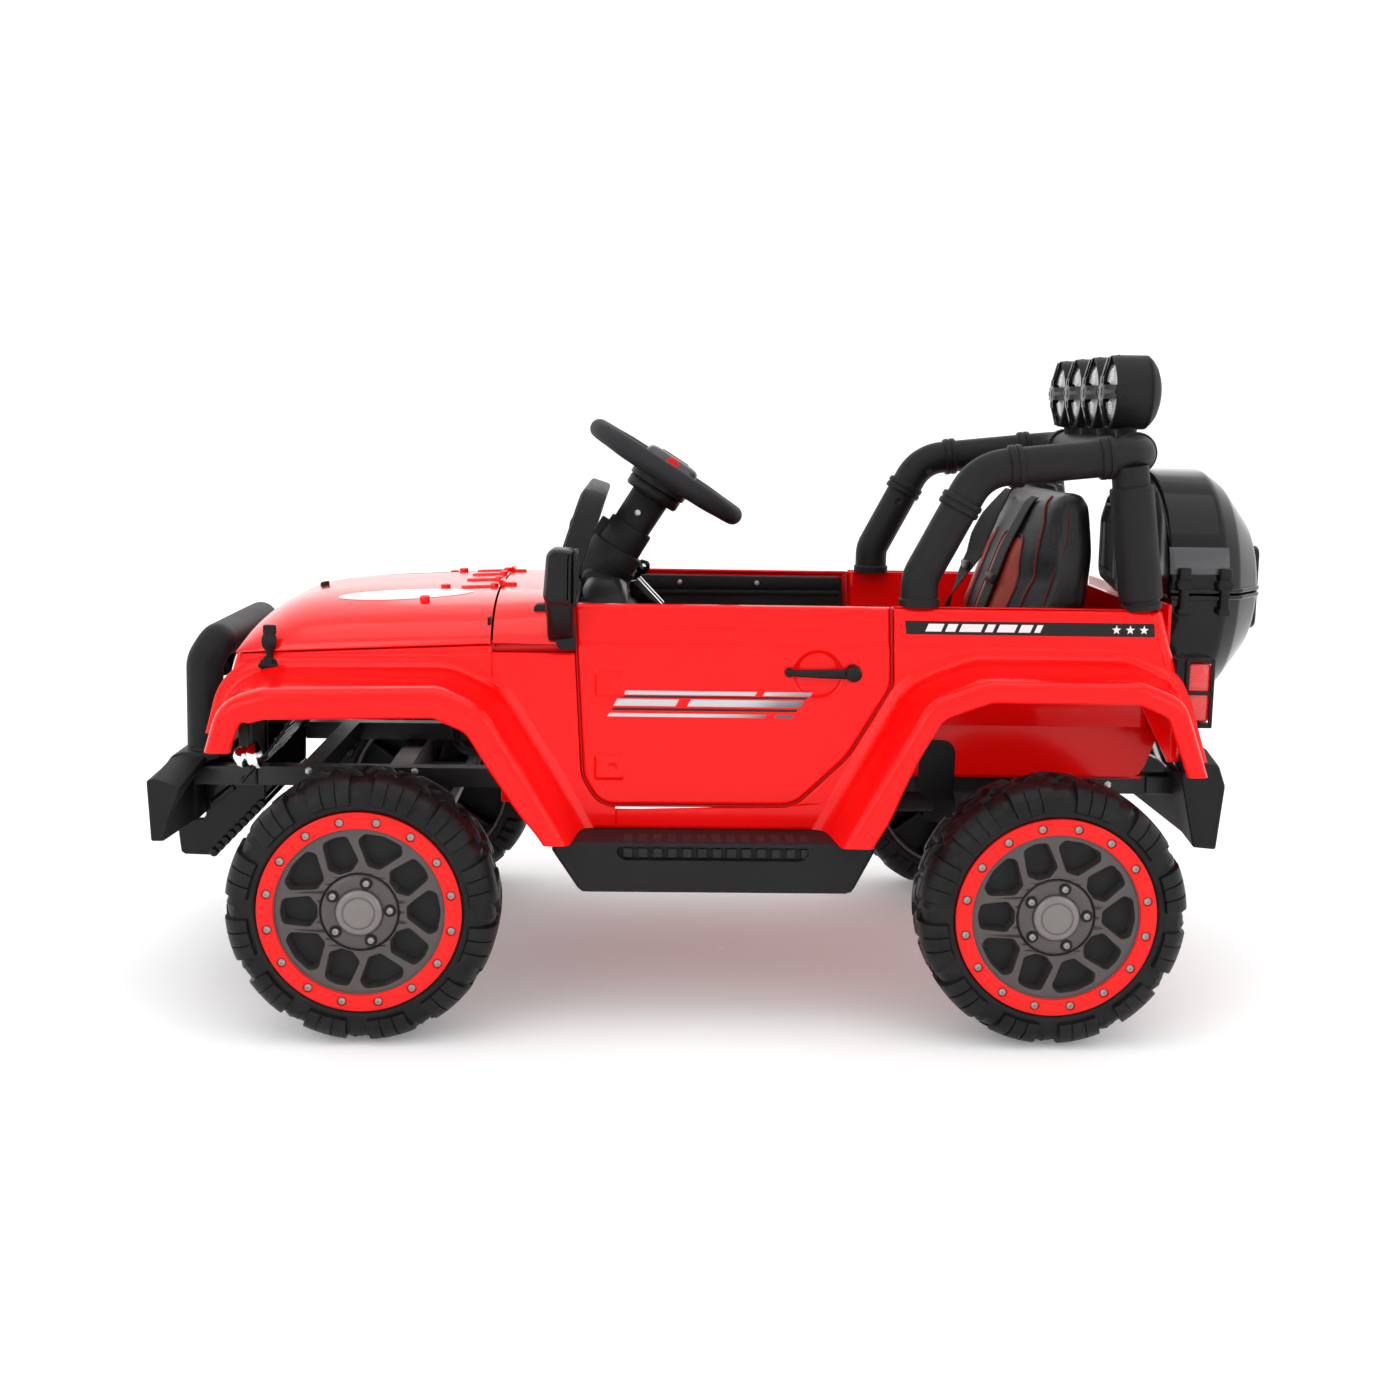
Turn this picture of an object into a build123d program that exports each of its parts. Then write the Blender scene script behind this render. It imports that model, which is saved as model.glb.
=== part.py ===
from build123d import *
from math import cos, radians, sin
import os

# A child's battery ride-on off-road 4x4, in millimetres.
# The floor is Z = 0, the nose points to -Y and the vehicle's left is +X.
# The origin is under the middle of the whole outline. Thin shells are moulded
# plastic, the rails and the front beam are steel.

os.makedirs("parts", exist_ok=True)

# Stance
wheelbase = 669.0
front_axle_y = -360.5
rear_axle_y = front_axle_y + wheelbase
track_half = 292.0

# Wheels
tyre_r = 132.0
tyre_width = 92.0
tyre_bore_r = 98.0
lug_depth = 6.0
lug_count = 18
rim_wall = 5.0
rim_web = 9.0
rim_face_inset = 7.0
hub_r = 37.5
cap_r = 22.0
window_inner_r = 47.0
window_outer_r = 75.0
ring_inner_r = 81.0
ring_thickness = 4.0
ring_bolt_r = 89.0
ring_bolt_count = 16
stub_r = 6.0
running_gap = 0.06
axle_z = tyre_r

# Chassis
rail_x = 137.0
rail_size = 20.0
rail_wall = 2.0
rail_base_z = 216.0
rail_front_y = -493.0
rail_rear_y = 440.0
rail_top_z = rail_base_z + rail_size
cross_members_y = (-440.0, -150.0, 130.0, 400.0)

# Front beam, knuckles and tie rod
kingpin_x = 193.0
kingpin_r = 4.0
beam_depth = 24.0
beam_height = 38.0
ear_thickness = 5.0
ear_gap = 0.5
knuckle_plate = 6.0
knuckle_reach = 14.0
arm_length = 60.0
rod_thickness = 8.0

# Body shell
wall = 4.0
body_half = 218.0
waist_z = 418.0
sill_z = 190.0
floor_z = rail_top_z
cowl_y = -243.5
dash_y = -150.0
tub_rear_top_y = 431.0
tub_rear_low_y = 457.0
nose_line_z = 380.0
nose_front_y = -492.7
nose_low_y = -514.0
nose_half_front = 197.0
bay_floor_z = 318.0
flare_outer = 300.0
front_arch_z = 318.0
rear_arch_z = 336.0

# Doors
door_gap = 2.0
door_thickness = 19.0
door_front_top_y = -161.0
door_front_low_y = -151.5
hinge_offset = 3.6

# Roll bar
bar_x = 200.0
bar_r = 19.0
bar_top_y = 408.0
bar_top_z = 574.0
lamp_r = 37.0
lamp_spacing = 78.0

# Spare wheel case
case_z = 427.0
case_r = 128.0
case_front_y = 460.0
case_rim_y = 520.0
case_wall = 4.0

# Steering wheel
column_lean = 32.0
wheel_hub_y = -69.5
wheel_hub_z = 542.5
hand_wheel_r = 98.0
hand_rim_r = 11.0


def box(x, y, z):
    """Block between low and high pairs on each axis."""
    return Pos((x[0] + x[1]) / 2, (y[0] + y[1]) / 2, (z[0] + z[1]) / 2) * Box(
        x[1] - x[0], y[1] - y[0], z[1] - z[0]
    )


def outline(points, radii=None):
    """Closed face in a plane's own two axes, with rounded corners where radii are given."""
    if radii is None:
        return make_face(Polyline(*points, close=True))
    return make_face(FilletPolyline(*points, radius=radii, close=True))


def side_slab(points, x0, x1, radii=None):
    """Slab whose outline is given as (Y, Z) and that runs from x0 to x1."""
    return Pos(x0, 0, 0) * extrude(Plane.YZ * outline(points, radii), x1 - x0)


def mirrored(shape):
    """The same piece on the other side of the vehicle."""
    return mirror(shape, Plane.YZ)


def both(shape):
    """A piece on the left with its copy on the right."""
    return shape + mirrored(shape)


def rod(x0, x1, y, z, r):
    """Round bar along X."""
    return Pos((x0 + x1) / 2, y, z) * Rot(0, 90, 0) * Cylinder(r, abs(x1 - x0))


def post(x, y, z0, z1, r):
    """Round bar along Z."""
    return Pos(x, y, (z0 + z1) / 2) * Cylinder(r, z1 - z0)


def barrel(x, z, y0, y1, r):
    """Round bar along Y."""
    return Pos(x, (y0 + y1) / 2, z) * Rot(90, 0, 0) * Cylinder(r, y1 - y0)


def tube_along(points, radii, r):
    """Round tube on straight runs that are joined by tangent arcs."""
    path = FilletPolyline(*points, radius=radii)
    start = Plane(path @ 0, z_dir=path % 0)
    return sweep(start * Circle(r), path=path)


def straight_tube(start, end, r):
    """Round bar between two points."""
    path = Line(start, end)
    return extrude(Plane(path @ 0, z_dir=path % 0) * Circle(r), path.length)


def save(name, shape):
    """One STEP file for one piece."""
    solids = shape.solids()
    export_step(solids[0] if len(solids) == 1 else Compound(children=list(solids)), f"parts/{name}.step")


# Each wheel: name, side, axle position
corners = (
    ("front_left", 1, front_axle_y),
    ("front_right", -1, front_axle_y),
    ("rear_left", 1, rear_axle_y),
    ("rear_right", -1, rear_axle_y),
)
half_tyre = tyre_width / 2
rim_face_x = half_tyre - rim_face_inset


def to_corner(shape, side, y):
    """A wheel piece, drawn about the X axis with its outer face to +X, at its corner."""
    placed = Pos(track_half, y, axle_z) * shape
    return placed if side > 0 else mirrored(placed)


def tyre():
    """Square-shouldered tyre with blocks on both shoulders, staggered from side to side."""
    carcass_r = tyre_r - lug_depth
    bead_x = half_tyre - 6
    bulge_low_r = tyre_bore_r + 8
    bulge_top_r = carcass_r - 12
    section = outline([
        (-bead_x, tyre_bore_r), (-half_tyre, bulge_low_r), (-half_tyre, bulge_top_r),
        (-bead_x, carcass_r), (bead_x, carcass_r), (half_tyre, bulge_top_r),
        (half_tyre, bulge_low_r), (bead_x, tyre_bore_r),
    ])
    body = revolve(section, Axis.X)
    lug_length = 30.0
    lug_wide = 27.0
    pitch = 360 / lug_count
    lugs = Part()
    for side, turn in ((1, 0.0), (-1, 0.5)):
        for i in range(lug_count):
            blank = box(
                sorted((side * (half_tyre - 1), side * (half_tyre - 1 - lug_length))),
                (-lug_wide / 2, lug_wide / 2),
                (bulge_top_r, tyre_r + 2),
            )
            lugs += Rot((i + turn) * pitch, 0, 0) * blank
    return body + (lugs & rod(-half_tyre, half_tyre, 0, 0, tyre_r))


def polar(radius, degrees):
    """Point of the wheel face at a radius and an angle."""
    return (radius * cos(radians(degrees)), radius * sin(radians(degrees)))


def windows():
    """Five wide windows and five six-sided ones between the spokes."""
    cuts = Part()
    for i in range(5):
        wide = [(window_inner_r + 5, -11), (window_outer_r + 1, -13), (window_outer_r + 1, 13),
                (window_inner_r + 5, 11)]
        six = [(window_inner_r - 2, -7), (59, -15), (window_outer_r, -9), (window_outer_r, 9),
               (59, 15), (window_inner_r - 2, 7)]
        for shape, turn in ((wide, 0), (six, 36)):
            points = [polar(r, a + 72 * i + turn) for r, a in shape]
            cuts += extrude(Plane.YZ * outline(points), 60)
    return cuts


def rim():
    """Moulded wheel: barrel, windowed face, hub with cap, and a dark disc behind."""
    barrel_half = half_tyre - 6
    inner_r = tyre_bore_r - rim_wall
    face = rod(rim_face_x - rim_web, rim_face_x, 0, 0, inner_r + 1) - windows()
    shell = rod(-barrel_half, rim_face_x, 0, 0, tyre_bore_r) - rod(-barrel_half, rim_face_x, 0, 0, inner_r)
    back_disc = rod(-6, -3, 0, 0, inner_r + 1)
    hub = rod(rim_face_x - rim_web, rim_face_x + 2, 0, 0, hub_r)
    cap = rod(rim_face_x, rim_face_x + 6, 0, 0, cap_r)
    sleeve = rod(-barrel_half + 6, rim_face_x, 0, 0, 14)
    bore_end = rim_face_x - 2
    bore = rod(-half_tyre, bore_end, 0, 0, stub_r + running_gap)
    return shell + face + back_disc + hub + cap + sleeve - bore


def bead_ring():
    """Flat red ring on the wheel's rim with its row of bolt heads."""
    edge_r = tyre_bore_r - 0.3
    flat = rod(rim_face_x, rim_face_x + ring_thickness, 0, 0, edge_r)
    flat -= rod(rim_face_x, rim_face_x + ring_thickness, 0, 0, ring_inner_r)
    for i in range(ring_bolt_count):
        y, z = polar(ring_bolt_r, (i + 0.5) * 360 / ring_bolt_count)
        flat += rod(rim_face_x + ring_thickness - 1, rim_face_x + ring_thickness + 1.5, y, z, 3.5)
    return flat


def chassis():
    """Two square steel rails with cross-members and the plates that carry the rear axle."""
    frame = Part()
    half = rail_size / 2
    frame += both(box((rail_x - half, rail_x + half), (rail_front_y, rail_rear_y), (rail_base_z, rail_top_z)))
    for y in cross_members_y:
        frame += box((-rail_x, rail_x), (y - half, y + half), (rail_base_z, rail_top_z))
    hollow = half - rail_wall
    mid_z = rail_base_z + half
    frame -= both(box((rail_x - hollow, rail_x + hollow), (rail_front_y, rail_rear_y),
                      (mid_z - hollow, mid_z + hollow)))
    plate = side_slab(
        [(rear_axle_y - 34, rail_base_z), (rear_axle_y + 34, rail_base_z),
         (rear_axle_y + 14, axle_z - 14), (rear_axle_y - 14, axle_z - 14)],
        rail_x - 4, rail_x + 4)
    frame += both(plate)
    return frame - rod(-rail_x - 10, rail_x + 10, rear_axle_y, axle_z, stub_r + running_gap)


def rear_axle():
    """Plain steel rod that the rear wheels turn on."""
    tip_x = track_half + rim_face_x - 4
    return rod(-tip_x, tip_x, rear_axle_y, axle_z, stub_r)


def rear_gearboxes():
    """Motor and gear housings just inside the rear wheels."""
    outer_x = track_half - half_tyre - 6
    motor_x = outer_x - 53
    case = side_slab([(rear_axle_y - 52, 150), (rear_axle_y - 30, 176), (rear_axle_y + 30, 172),
                      (rear_axle_y + 36, 110), (rear_axle_y + 10, 92), (rear_axle_y - 46, 108)],
                     outer_x - 38, outer_x)
    motor = barrel(motor_x, axle_z + 8, rear_axle_y - 100, rear_axle_y - 40, 19)
    piece = case + motor - rod(0, track_half, rear_axle_y, axle_z, stub_r + 0.2)
    return both(piece)


def front_beam():
    """Steel beam across the nose with a bored, rounded end at each kingpin."""
    low_z = rail_base_z - beam_height
    plan = SlotCenterToCenter(2 * kingpin_x, beam_depth)
    bar = Pos(0, front_axle_y, low_z) * extrude(plan, beam_height)
    channel = box((-kingpin_x + 26, kingpin_x - 26),
                  (front_axle_y - beam_depth, front_axle_y + beam_depth / 2 - 4),
                  (low_z + 4, rail_base_z - 4))
    bar -= channel
    for side in (-1, 1):
        bar -= post(side * kingpin_x, front_axle_y, low_z - 1, rail_base_z + 1, kingpin_r + running_gap)
    return bar


def knuckle():
    """Left steering knuckle: forked ears, kingpin, drop plate, stub axle and steering arm."""
    beam_low = rail_base_z - beam_height
    ear_r = beam_depth / 2
    upper = (rail_base_z + ear_gap, rail_base_z + ear_gap + ear_thickness)
    lower = (beam_low - ear_gap - ear_thickness, beam_low - ear_gap)
    plate_x = kingpin_x + knuckle_reach
    body = box((plate_x, plate_x + knuckle_plate), (front_axle_y - ear_r, front_axle_y + ear_r),
               (axle_z - 20, upper[1]))
    for z0, z1 in (upper, lower):
        body += post(kingpin_x, front_axle_y, z0, z1, ear_r)
        body += box((kingpin_x, plate_x), (front_axle_y - ear_r, front_axle_y + ear_r), (z0, z1))
    body += post(kingpin_x, front_axle_y, lower[0], upper[1], kingpin_r)
    body += post(kingpin_x, front_axle_y, upper[1], upper[1] + 4, kingpin_r + 3)
    stub_tip = track_half + rim_face_x - 4
    body += rod(plate_x, stub_tip, front_axle_y, axle_z, stub_r)
    arm_end = front_axle_y + arm_length
    body += box((kingpin_x - 8, kingpin_x + 8), (front_axle_y, arm_end), lower)
    body += post(kingpin_x, arm_end, lower[0], lower[1], 8)
    body += post(kingpin_x, arm_end, lower[1], lower[1] + rod_thickness + 6, kingpin_r)
    return body


def front_gearbox():
    """Left front motor housing, bolted to the knuckle's drop plate."""
    face_x = kingpin_x + knuckle_reach
    top_z = rail_base_z - beam_height - ear_gap - ear_thickness - 4
    case = side_slab([(front_axle_y - 34, 118), (front_axle_y - 26, top_z), (front_axle_y + 26, top_z),
                      (front_axle_y + 34, 118), (front_axle_y + 16, 96), (front_axle_y - 16, 96)],
                     face_x - 40, face_x)
    return case


def tie_rod():
    """Bar that joins the two steering arms, with an eye over each arm's pin."""
    low_z = rail_base_z - beam_height
    y = front_axle_y + arm_length
    bar = box((-kingpin_x, kingpin_x), (y - 4, y + 4), (low_z, low_z + rod_thickness))
    bar += both(post(kingpin_x, y, low_z, low_z + rod_thickness, 9))
    return bar - both(post(kingpin_x, y, low_z - 1, low_z + rod_thickness + 1, kingpin_r + running_gap))


# Fender bands as (Y, Z): the outer line from front to back, then the arch line back again
front_outer_line = [(-508, 284), (-490, 318), (-472, 336), (-452, 342), (-286, 342), (-257, 331),
                    (-234, 310), (-204, 257), (-164, sill_z)]
front_arch_line = [(-188, sill_z), (-234, 265), (-251, 295), (-269, 310), (-295, front_arch_z),
                   (-448, front_arch_z), (-465, 306), (-476, 284)]
rear_outer_line = [(104, sill_z), (178, 324), (204, 346), (240, 355), (388, 355), (411, 347),
                   (428, 331), (459, 264)]
rear_arch_line = [(442, 264), (411, 323), (388, rear_arch_z), (252, rear_arch_z), (222, 322),
                  (195, 297), (136, sill_z)]
# Outline of the tub from the side, as (Y, Z), from the cowl's top round the tail
tub_outline = [
    (cowl_y, waist_z), (tub_rear_top_y, waist_z), (tub_rear_low_y, 328), (tub_rear_low_y, 264),
    *rear_arch_line, *front_arch_line[:2], (cowl_y, 284),
]
# Door outline as (Y, Z)
door_outline = [(door_front_top_y, waist_z), (door_front_low_y, 243), (-134, 214), (61, 215),
                (115, 267), (157, 338), (154, waist_z)]
hinge_x = body_half + hinge_offset
hinge_y = -156.0
hinge_r = 3.2
hinge_pin_r = 1.5
door_hinge_z = (339.0, 254.0)
hood_hinge_x = (-80.0, 80.0)
hood_hinge_z = 427.0


def fender(outer_line, arch_line):
    """Left flare: a lip that hangs at its outer edge and a top skin out from the body."""
    band = outline(outer_line + arch_line)
    below = [(outer_line[-1][0], outer_line[-1][1] - 60), (outer_line[0][0], outer_line[0][1] - 60)]
    under = outline(outer_line + below)
    skin = band & (under - offset(under, -wall, kind=Kind.INTERSECTION))
    lip = Pos(flare_outer - wall, 0, 0) * extrude(Plane.YZ * band, wall)
    top = Pos(body_half - wall, 0, 0) * extrude(Plane.YZ * skin, flare_outer - body_half)
    return lip + top


def hinge_knuckle(z_low, z_high):
    """Barrel of a door hinge on its vertical axis."""
    return post(hinge_x, hinge_y, z_low, z_high, hinge_r)


def body_shell():
    """The moulded red body: nose with its bay, cowl, open tub, tail and four flares."""
    side = outline(tub_outline)
    tub = Pos(-body_half, 0, 0) * extrude(Plane.YZ * side, 2 * body_half)
    floor = tub & box((-body_half, body_half), (-300, 460), (floor_z, floor_z + wall))
    inner = Pos(-body_half + wall, 0, 0) * extrude(
        Plane.YZ * offset(side, -wall, kind=Kind.INTERSECTION), 2 * (body_half - wall))
    low_half = 170.0
    boot = side_slab([(120, floor_z), (430, floor_z), (452, 300), (452, rear_arch_z + wall),
                      (120, rear_arch_z + wall)], -low_half, low_half)
    boot_inner = side_slab([(120, floor_z + wall), (426, floor_z + wall), (448, 300),
                            (448, rear_arch_z + wall), (120, rear_arch_z + wall)],
                           -low_half + wall, low_half - wall)
    mouth = box((-body_half + 13, body_half - 13), (dash_y, tub_rear_top_y - 10), (waist_z - 10, waist_z + 10))
    under = box((-body_half + wall, body_half - wall), (-300, 200), (100, floor_z))
    shell = tub + boot - inner - boot_inner - mouth - under + floor
    shell -= boot_inner
    nose = nose_block() - bay_space()
    shell += nose
    shell += both(fender(front_outer_line, front_arch_line))
    shell += both(fender(rear_outer_line, rear_arch_line))
    opening = offset(outline(door_outline + [(154, waist_z + 30), (door_front_top_y, waist_z + 30)]),
                     door_gap, kind=Kind.INTERSECTION)
    hole = Pos(body_half - door_thickness - 6, 0, 0) * extrude(Plane.YZ * opening, door_thickness + 20)
    shell -= both(hole)
    for z in door_hinge_z:
        root = box((body_half - 1, hinge_x), (hinge_y - 16, hinge_y - 8), (z + 0.3, z + 8))
        leaf = box((body_half + 0.4, hinge_x), (hinge_y - 9, hinge_y), (z + 0.3, z + 8))
        shell += both(root + leaf + hinge_knuckle(z + 0.3, z + 8))
        shell += both(post(hinge_x, hinge_y, z - 8, z + 8, hinge_pin_r))
    return shell


def nose_plan(inset):
    """Plan of the nose, which narrows towards the grille."""
    return outline([(-body_half + inset, cowl_y), (body_half - inset, cowl_y),
                    (nose_half_front - inset, nose_low_y), (-nose_half_front + inset, nose_low_y)])


def nose_block():
    """Outer form of the nose below the hood."""
    plan = Pos(0, 0, 200) * extrude(nose_plan(0), 200)
    side = side_slab([(cowl_y, nose_line_z), (nose_front_y, nose_line_z), (nose_low_y, bay_floor_z),
                      (-295, bay_floor_z), (-269, 310), (-251, 295), (cowl_y, 284)],
                     -body_half, body_half)
    return plan & side


def bay_space():
    """Space for the battery under the hood."""
    plan = Pos(0, 0, 200) * extrude(nose_plan(wall), 250)
    side = side_slab([(cowl_y - wall, nose_line_z + 9), (nose_front_y + wall + 2, nose_line_z + 9),
                      (nose_low_y + 8, bay_floor_z + wall), (cowl_y - wall, bay_floor_z + wall)],
                     -body_half, body_half)
    return plan & side


def nose_x(y):
    """Half width of the nose at a place along the vehicle."""
    share = (cowl_y - y) / (cowl_y - nose_low_y)
    return body_half + (nose_half_front - body_half) * share


# Hood sections as (Y, inset from the nose's side, shoulder height, crown height)
hood_sections = (
    (cowl_y - 1.5, 2.8, 402.0, 424.0),
    (-400.0, 0.8, 399.0, 417.0),
    (-456.0, 1.0, 394.0, 408.0),
    (-484.0, 1.3, 384.0, 392.0),
)
hood_seam_gap = 0.5


def hood_form(inset):
    """Loft through the hood's sections, smaller by an inset on the sides and the top."""
    faces = []
    for y, reveal, shoulder, crown in hood_sections:
        w = nose_x(y) - reveal - inset
        low = nose_line_z + hood_seam_gap - (1 if inset else 0)
        points = [(-w, low), (w, low), (w, shoulder - inset), (w * 0.55, crown - 2 - inset),
                  (0, crown - inset), (-w * 0.55, crown - 2 - inset), (-w, shoulder - inset)]
        faces.append(Plane(origin=(0, y, 0), x_dir=(1, 0, 0), z_dir=(0, -1, 0)) * outline(points))
    return loft(faces, ruled=True)


def hood():
    """Hollow hood with its nose lip, two rubber stops and rear hinge barrels."""
    shell = hood_form(0) - hood_form(wall)
    front = hood_sections[-1][0]
    shell += hood_form(0) & box((-300, 300), (front, front + wall), (300, 500))
    rear = hood_sections[0][0]
    shell += hood_form(0) & box((-300, 300), (rear - wall, rear), (300, 500))
    for x in hood_hinge_x:
        shell += rod(x - 12, x - 0.3, cowl_y, hood_hinge_z, hinge_r)
        shell += box((x - 12, x - 0.3), (cowl_y - 14, cowl_y), (419, hood_hinge_z))
        shell -= rod(x - 14, x + 12, cowl_y, hood_hinge_z, hinge_pin_r + running_gap)
    for x in (-60.0, 60.0):
        shell += post(x, -330, 414, 427, 5)
    return shell


def hood_hinge_halves():
    """Cowl half of each hood hinge, with the pin."""
    piece = Part()
    for x in hood_hinge_x:
        piece += rod(x, x + 12, cowl_y, hood_hinge_z, hinge_r)
        piece += box((x, x + 12), (cowl_y, cowl_y + 14), (waist_z, hood_hinge_z))
        piece += rod(x - 12, x + 12, cowl_y, hood_hinge_z, hinge_pin_r)
    return piece


# Nose face leans back as it rises
nose_lean = (nose_front_y - nose_low_y) / (nose_line_z - bay_floor_z)
grille_low_z = 300.0
grille_thickness = 12.0


def nose_y(z):
    """Front surface of the nose at a height."""
    return nose_low_y + (z - bay_floor_z) * nose_lean


head_lamp_x = 142.0
head_lamp_z = 330.0
lamp_hole_r = 27.0


def lamp_bar(r, start, end):
    """Round bar square to the leaning panel, through the left head lamp's centre."""
    lean = 1 / (1 + nose_lean ** 2) ** 0.5
    plane = Plane(origin=(head_lamp_x, nose_y(head_lamp_z), head_lamp_z), x_dir=(1, 0, 0),
                  z_dir=(0, -lean, lean * nose_lean))
    return Pos(0, 0, 0) * extrude(plane.offset(start) * Circle(r), end - start)


def grille_panel():
    """Leaning front panel with a framed opening, level bars and two lamp holes."""
    top_z = nose_line_z - 1
    profile = [(nose_y(top_z), top_z), (nose_y(grille_low_z), grille_low_z),
               (nose_y(grille_low_z) - grille_thickness, grille_low_z),
               (nose_y(top_z) - grille_thickness, top_z)]
    panel = side_slab(profile, -nose_half_front + 6, nose_half_front - 6)
    window = box((-88, 88), (nose_low_y - 40, nose_front_y + 20), (308, 366))
    panel -= window
    for i in range(4):
        z = 319 + 12 * i
        y = nose_y(z) - 4
        panel += box((-90, 90), (y - 4, y + 3), (z - 2.5, z + 2.5))
    return panel - both(lamp_bar(lamp_hole_r, -30, 30))


def head_lamps():
    """Round lamps that sit in the grille panel, and a small lamp under each flare's nose."""
    lamp = lamp_bar(lamp_hole_r - 0.3, 0.5, grille_thickness + 2)
    indicator = barrel(252, 278, -494, -472, 12) + box((250, 254), (-484, -478), (288, 318))
    return both(lamp) + both(indicator)


# Front bumper: (Y, Z) section, and how far its ends sweep back
bumper_half = 228.0
bull_foot_z = 250.0


def front_bumper():
    """Angular bumper with a stepped top and swept ends."""
    middle = [(-556, 178), (-586, 176), (-589, 236), (-582, 246), (-572, bull_foot_z), (-532, bull_foot_z),
              (-532, bull_foot_z - 8), (-556, bull_foot_z - 10)]
    bar = side_slab(middle, -150, 150)
    wing = loft([
        Plane.YZ.offset(150) * outline([(-556, 178), (-586, 176), (-589, 236), (-582, 246), (-550, bull_foot_z)]),
        Plane.YZ.offset(bumper_half) * outline([(-571, 174), (-584, 174), (-587, 236), (-580, 238), (-553, 228)]),
    ], ruled=True)
    bar += both(wing)
    bar += both(box((rail_x - 12, rail_x + 12), (-560, rail_front_y), (rail_base_z, rail_top_z)))
    return bar


bull_x = 118.0
bull_r = 19.0
bull_leg_y = -553.0
bull_top_z = 368.0


def bull_bar():
    """Hoop of thick tube that stands on the bumper and leans back at its top."""
    top_y = -530.0
    points = [(bull_x, bull_leg_y, bull_foot_z), (bull_x, bull_leg_y + 2, 345), (bull_x, top_y, bull_top_z),
              (-bull_x, top_y, bull_top_z), (-bull_x, bull_leg_y + 2, 345), (-bull_x, bull_leg_y, bull_foot_z)]
    hoop = tube_along(points, [22, 21.5, 21.5, 22], bull_r)
    return hoop & box((-300, 300), (-700, 0), (bull_foot_z, 500))


def skid_plate():
    """Sloping guard under the nose, with a ladder of ribs."""
    half = 118.0
    outer = [(-500, 262), (-531, 239.5), (-555.5, 239.5), (-555.5, 172), (-572, 146), (-557, 143), (-508, 196),
             (-492, 240)]
    plate = side_slab(outer, -half, half)
    hollow = side_slab([(-502, 255), (-531, 234.5), (-550.5, 234.5), (-550.5, 171), (-561, 152), (-514, 198), (-498, 240)],
                       -half + 5, half - 5)
    plate -= hollow
    for i in range(7):
        t = i / 6
        plate += rod(-half + 2, half - 2, -513 - 42 * t, 192 - 44 * t, 5)
    return plate


step_front_clear = 42.5
step_rear_clear = 34.5
tread_depth = 2.0
tread_lugs = 8


def side_steps():
    """Running boards under the doors, each with a sunk tread."""
    x0, x1 = body_half - 22, body_half + 62
    top_z, low_z = sill_z - 0.3, sill_z - 51
    front = front_axle_y + tyre_r + step_front_clear
    rear = rear_axle_y - tyre_r - step_rear_clear
    board = side_slab([(front, top_z), (front + 34, low_z), (rear - 26, low_z), (rear, top_z)], x0, x1)
    hollow = side_slab([(front + 10, top_z), (front + 40, low_z + wall), (rear - 32, low_z + wall), (rear - 10, top_z)],
                       x0 + wall, x1 - wall)
    board -= hollow & box((x0, x1), (front, rear), (low_z, top_z - wall))
    tread = (front + 66, rear - 82)
    board -= box((x1 - 48, x1 - 6), tread, (top_z - tread_depth, top_z + 1))
    lug_pitch = (tread[1] - tread[0]) / tread_lugs
    for i in range(tread_lugs):
        y = tread[0] + (i + 0.5) * lug_pitch
        board += box((x1 - 42, x1 - 12), (y - 6, y + 6), (top_z - tread_depth - 1, top_z - 0.5))
    return both(board)


def rear_bumper():
    """Rear bumper with swept ends and its stays to the rails."""
    bar = side_slab([(478, 178), (501, 174), (507, 247), (500, 268), (474, 270), (462, 250)], -160, 160)
    wing = loft([
        Plane.YZ.offset(160) * outline([(478, 178), (501, 174), (507, 247), (500, 268), (474, 270), (462, 250)]),
        Plane.YZ.offset(222) * outline([(472, 176), (496, 174), (502, 240), (494, 262), (462, 264), (456, 248)]),
    ], ruled=True)
    bar += both(wing)
    bar += both(box((rail_x - 12, rail_x + 12), (rail_rear_y, 480), (rail_base_z, rail_top_z)))
    return bar


def tail_lamps():
    """Lamp blocks on the tail's corners."""
    z0, z1 = 299.0, 371.0
    slope = (tub_rear_low_y - tub_rear_top_y) / (waist_z - 328)
    top = tub_rear_low_y - (z1 - 328) * slope
    block = side_slab([(tub_rear_low_y + 0.3, z0), (tub_rear_low_y + 0.3, 328), (top + 0.3, z1), (486, z1), (486, z0)],
                      176, 216)
    return both(block)


screen_thickness = 24.0


def windscreen_frame():
    """Thick screen surround that leans back, open in the middle."""
    lean = 18.0
    base = Plane(origin=(0, -178, waist_z), x_dir=(1, 0, 0), z_dir=(0, -cos(radians(lean)), sin(radians(lean))))
    outer = outline([(-182, 0), (182, 0), (172, 118), (-172, 118)], [0, 0, 34, 34])
    inner = outline([(-156, 22), (156, 22), (148, 92), (-148, 92)], [12, 12, 20, 20])
    frame = extrude(base * (outer - inner), -screen_thickness)
    foot = box((-182, 182), (-181, -148), (waist_z - 0.0, waist_z + 8))
    return frame & box((-300, 300), (-300, 0), (waist_z, 700)) + foot


def mirrors():
    """Door mirrors on their pillar plates."""
    plate = side_slab([(-192, 414), (-164, 414), (-160, 372), (-176, 372)], body_half, body_half + 6)
    arm = side_slab([(-190, 410), (-166, 410), (-168, 432), (-188, 432)], body_half, 262)
    head = loft([
        Plane.YZ.offset(236) * outline([(-190, 424), (-160, 424), (-158, 474), (-186, 474)]),
        Plane.YZ.offset(296) * outline([(-194, 422), (-158, 418), (-157, 478), (-186, 480)]),
    ], ruled=True)
    return both(plate + arm + head)


column_tilt = radians(column_lean)
column_dir = (0.0, sin(column_tilt), cos(column_tilt))


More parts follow.
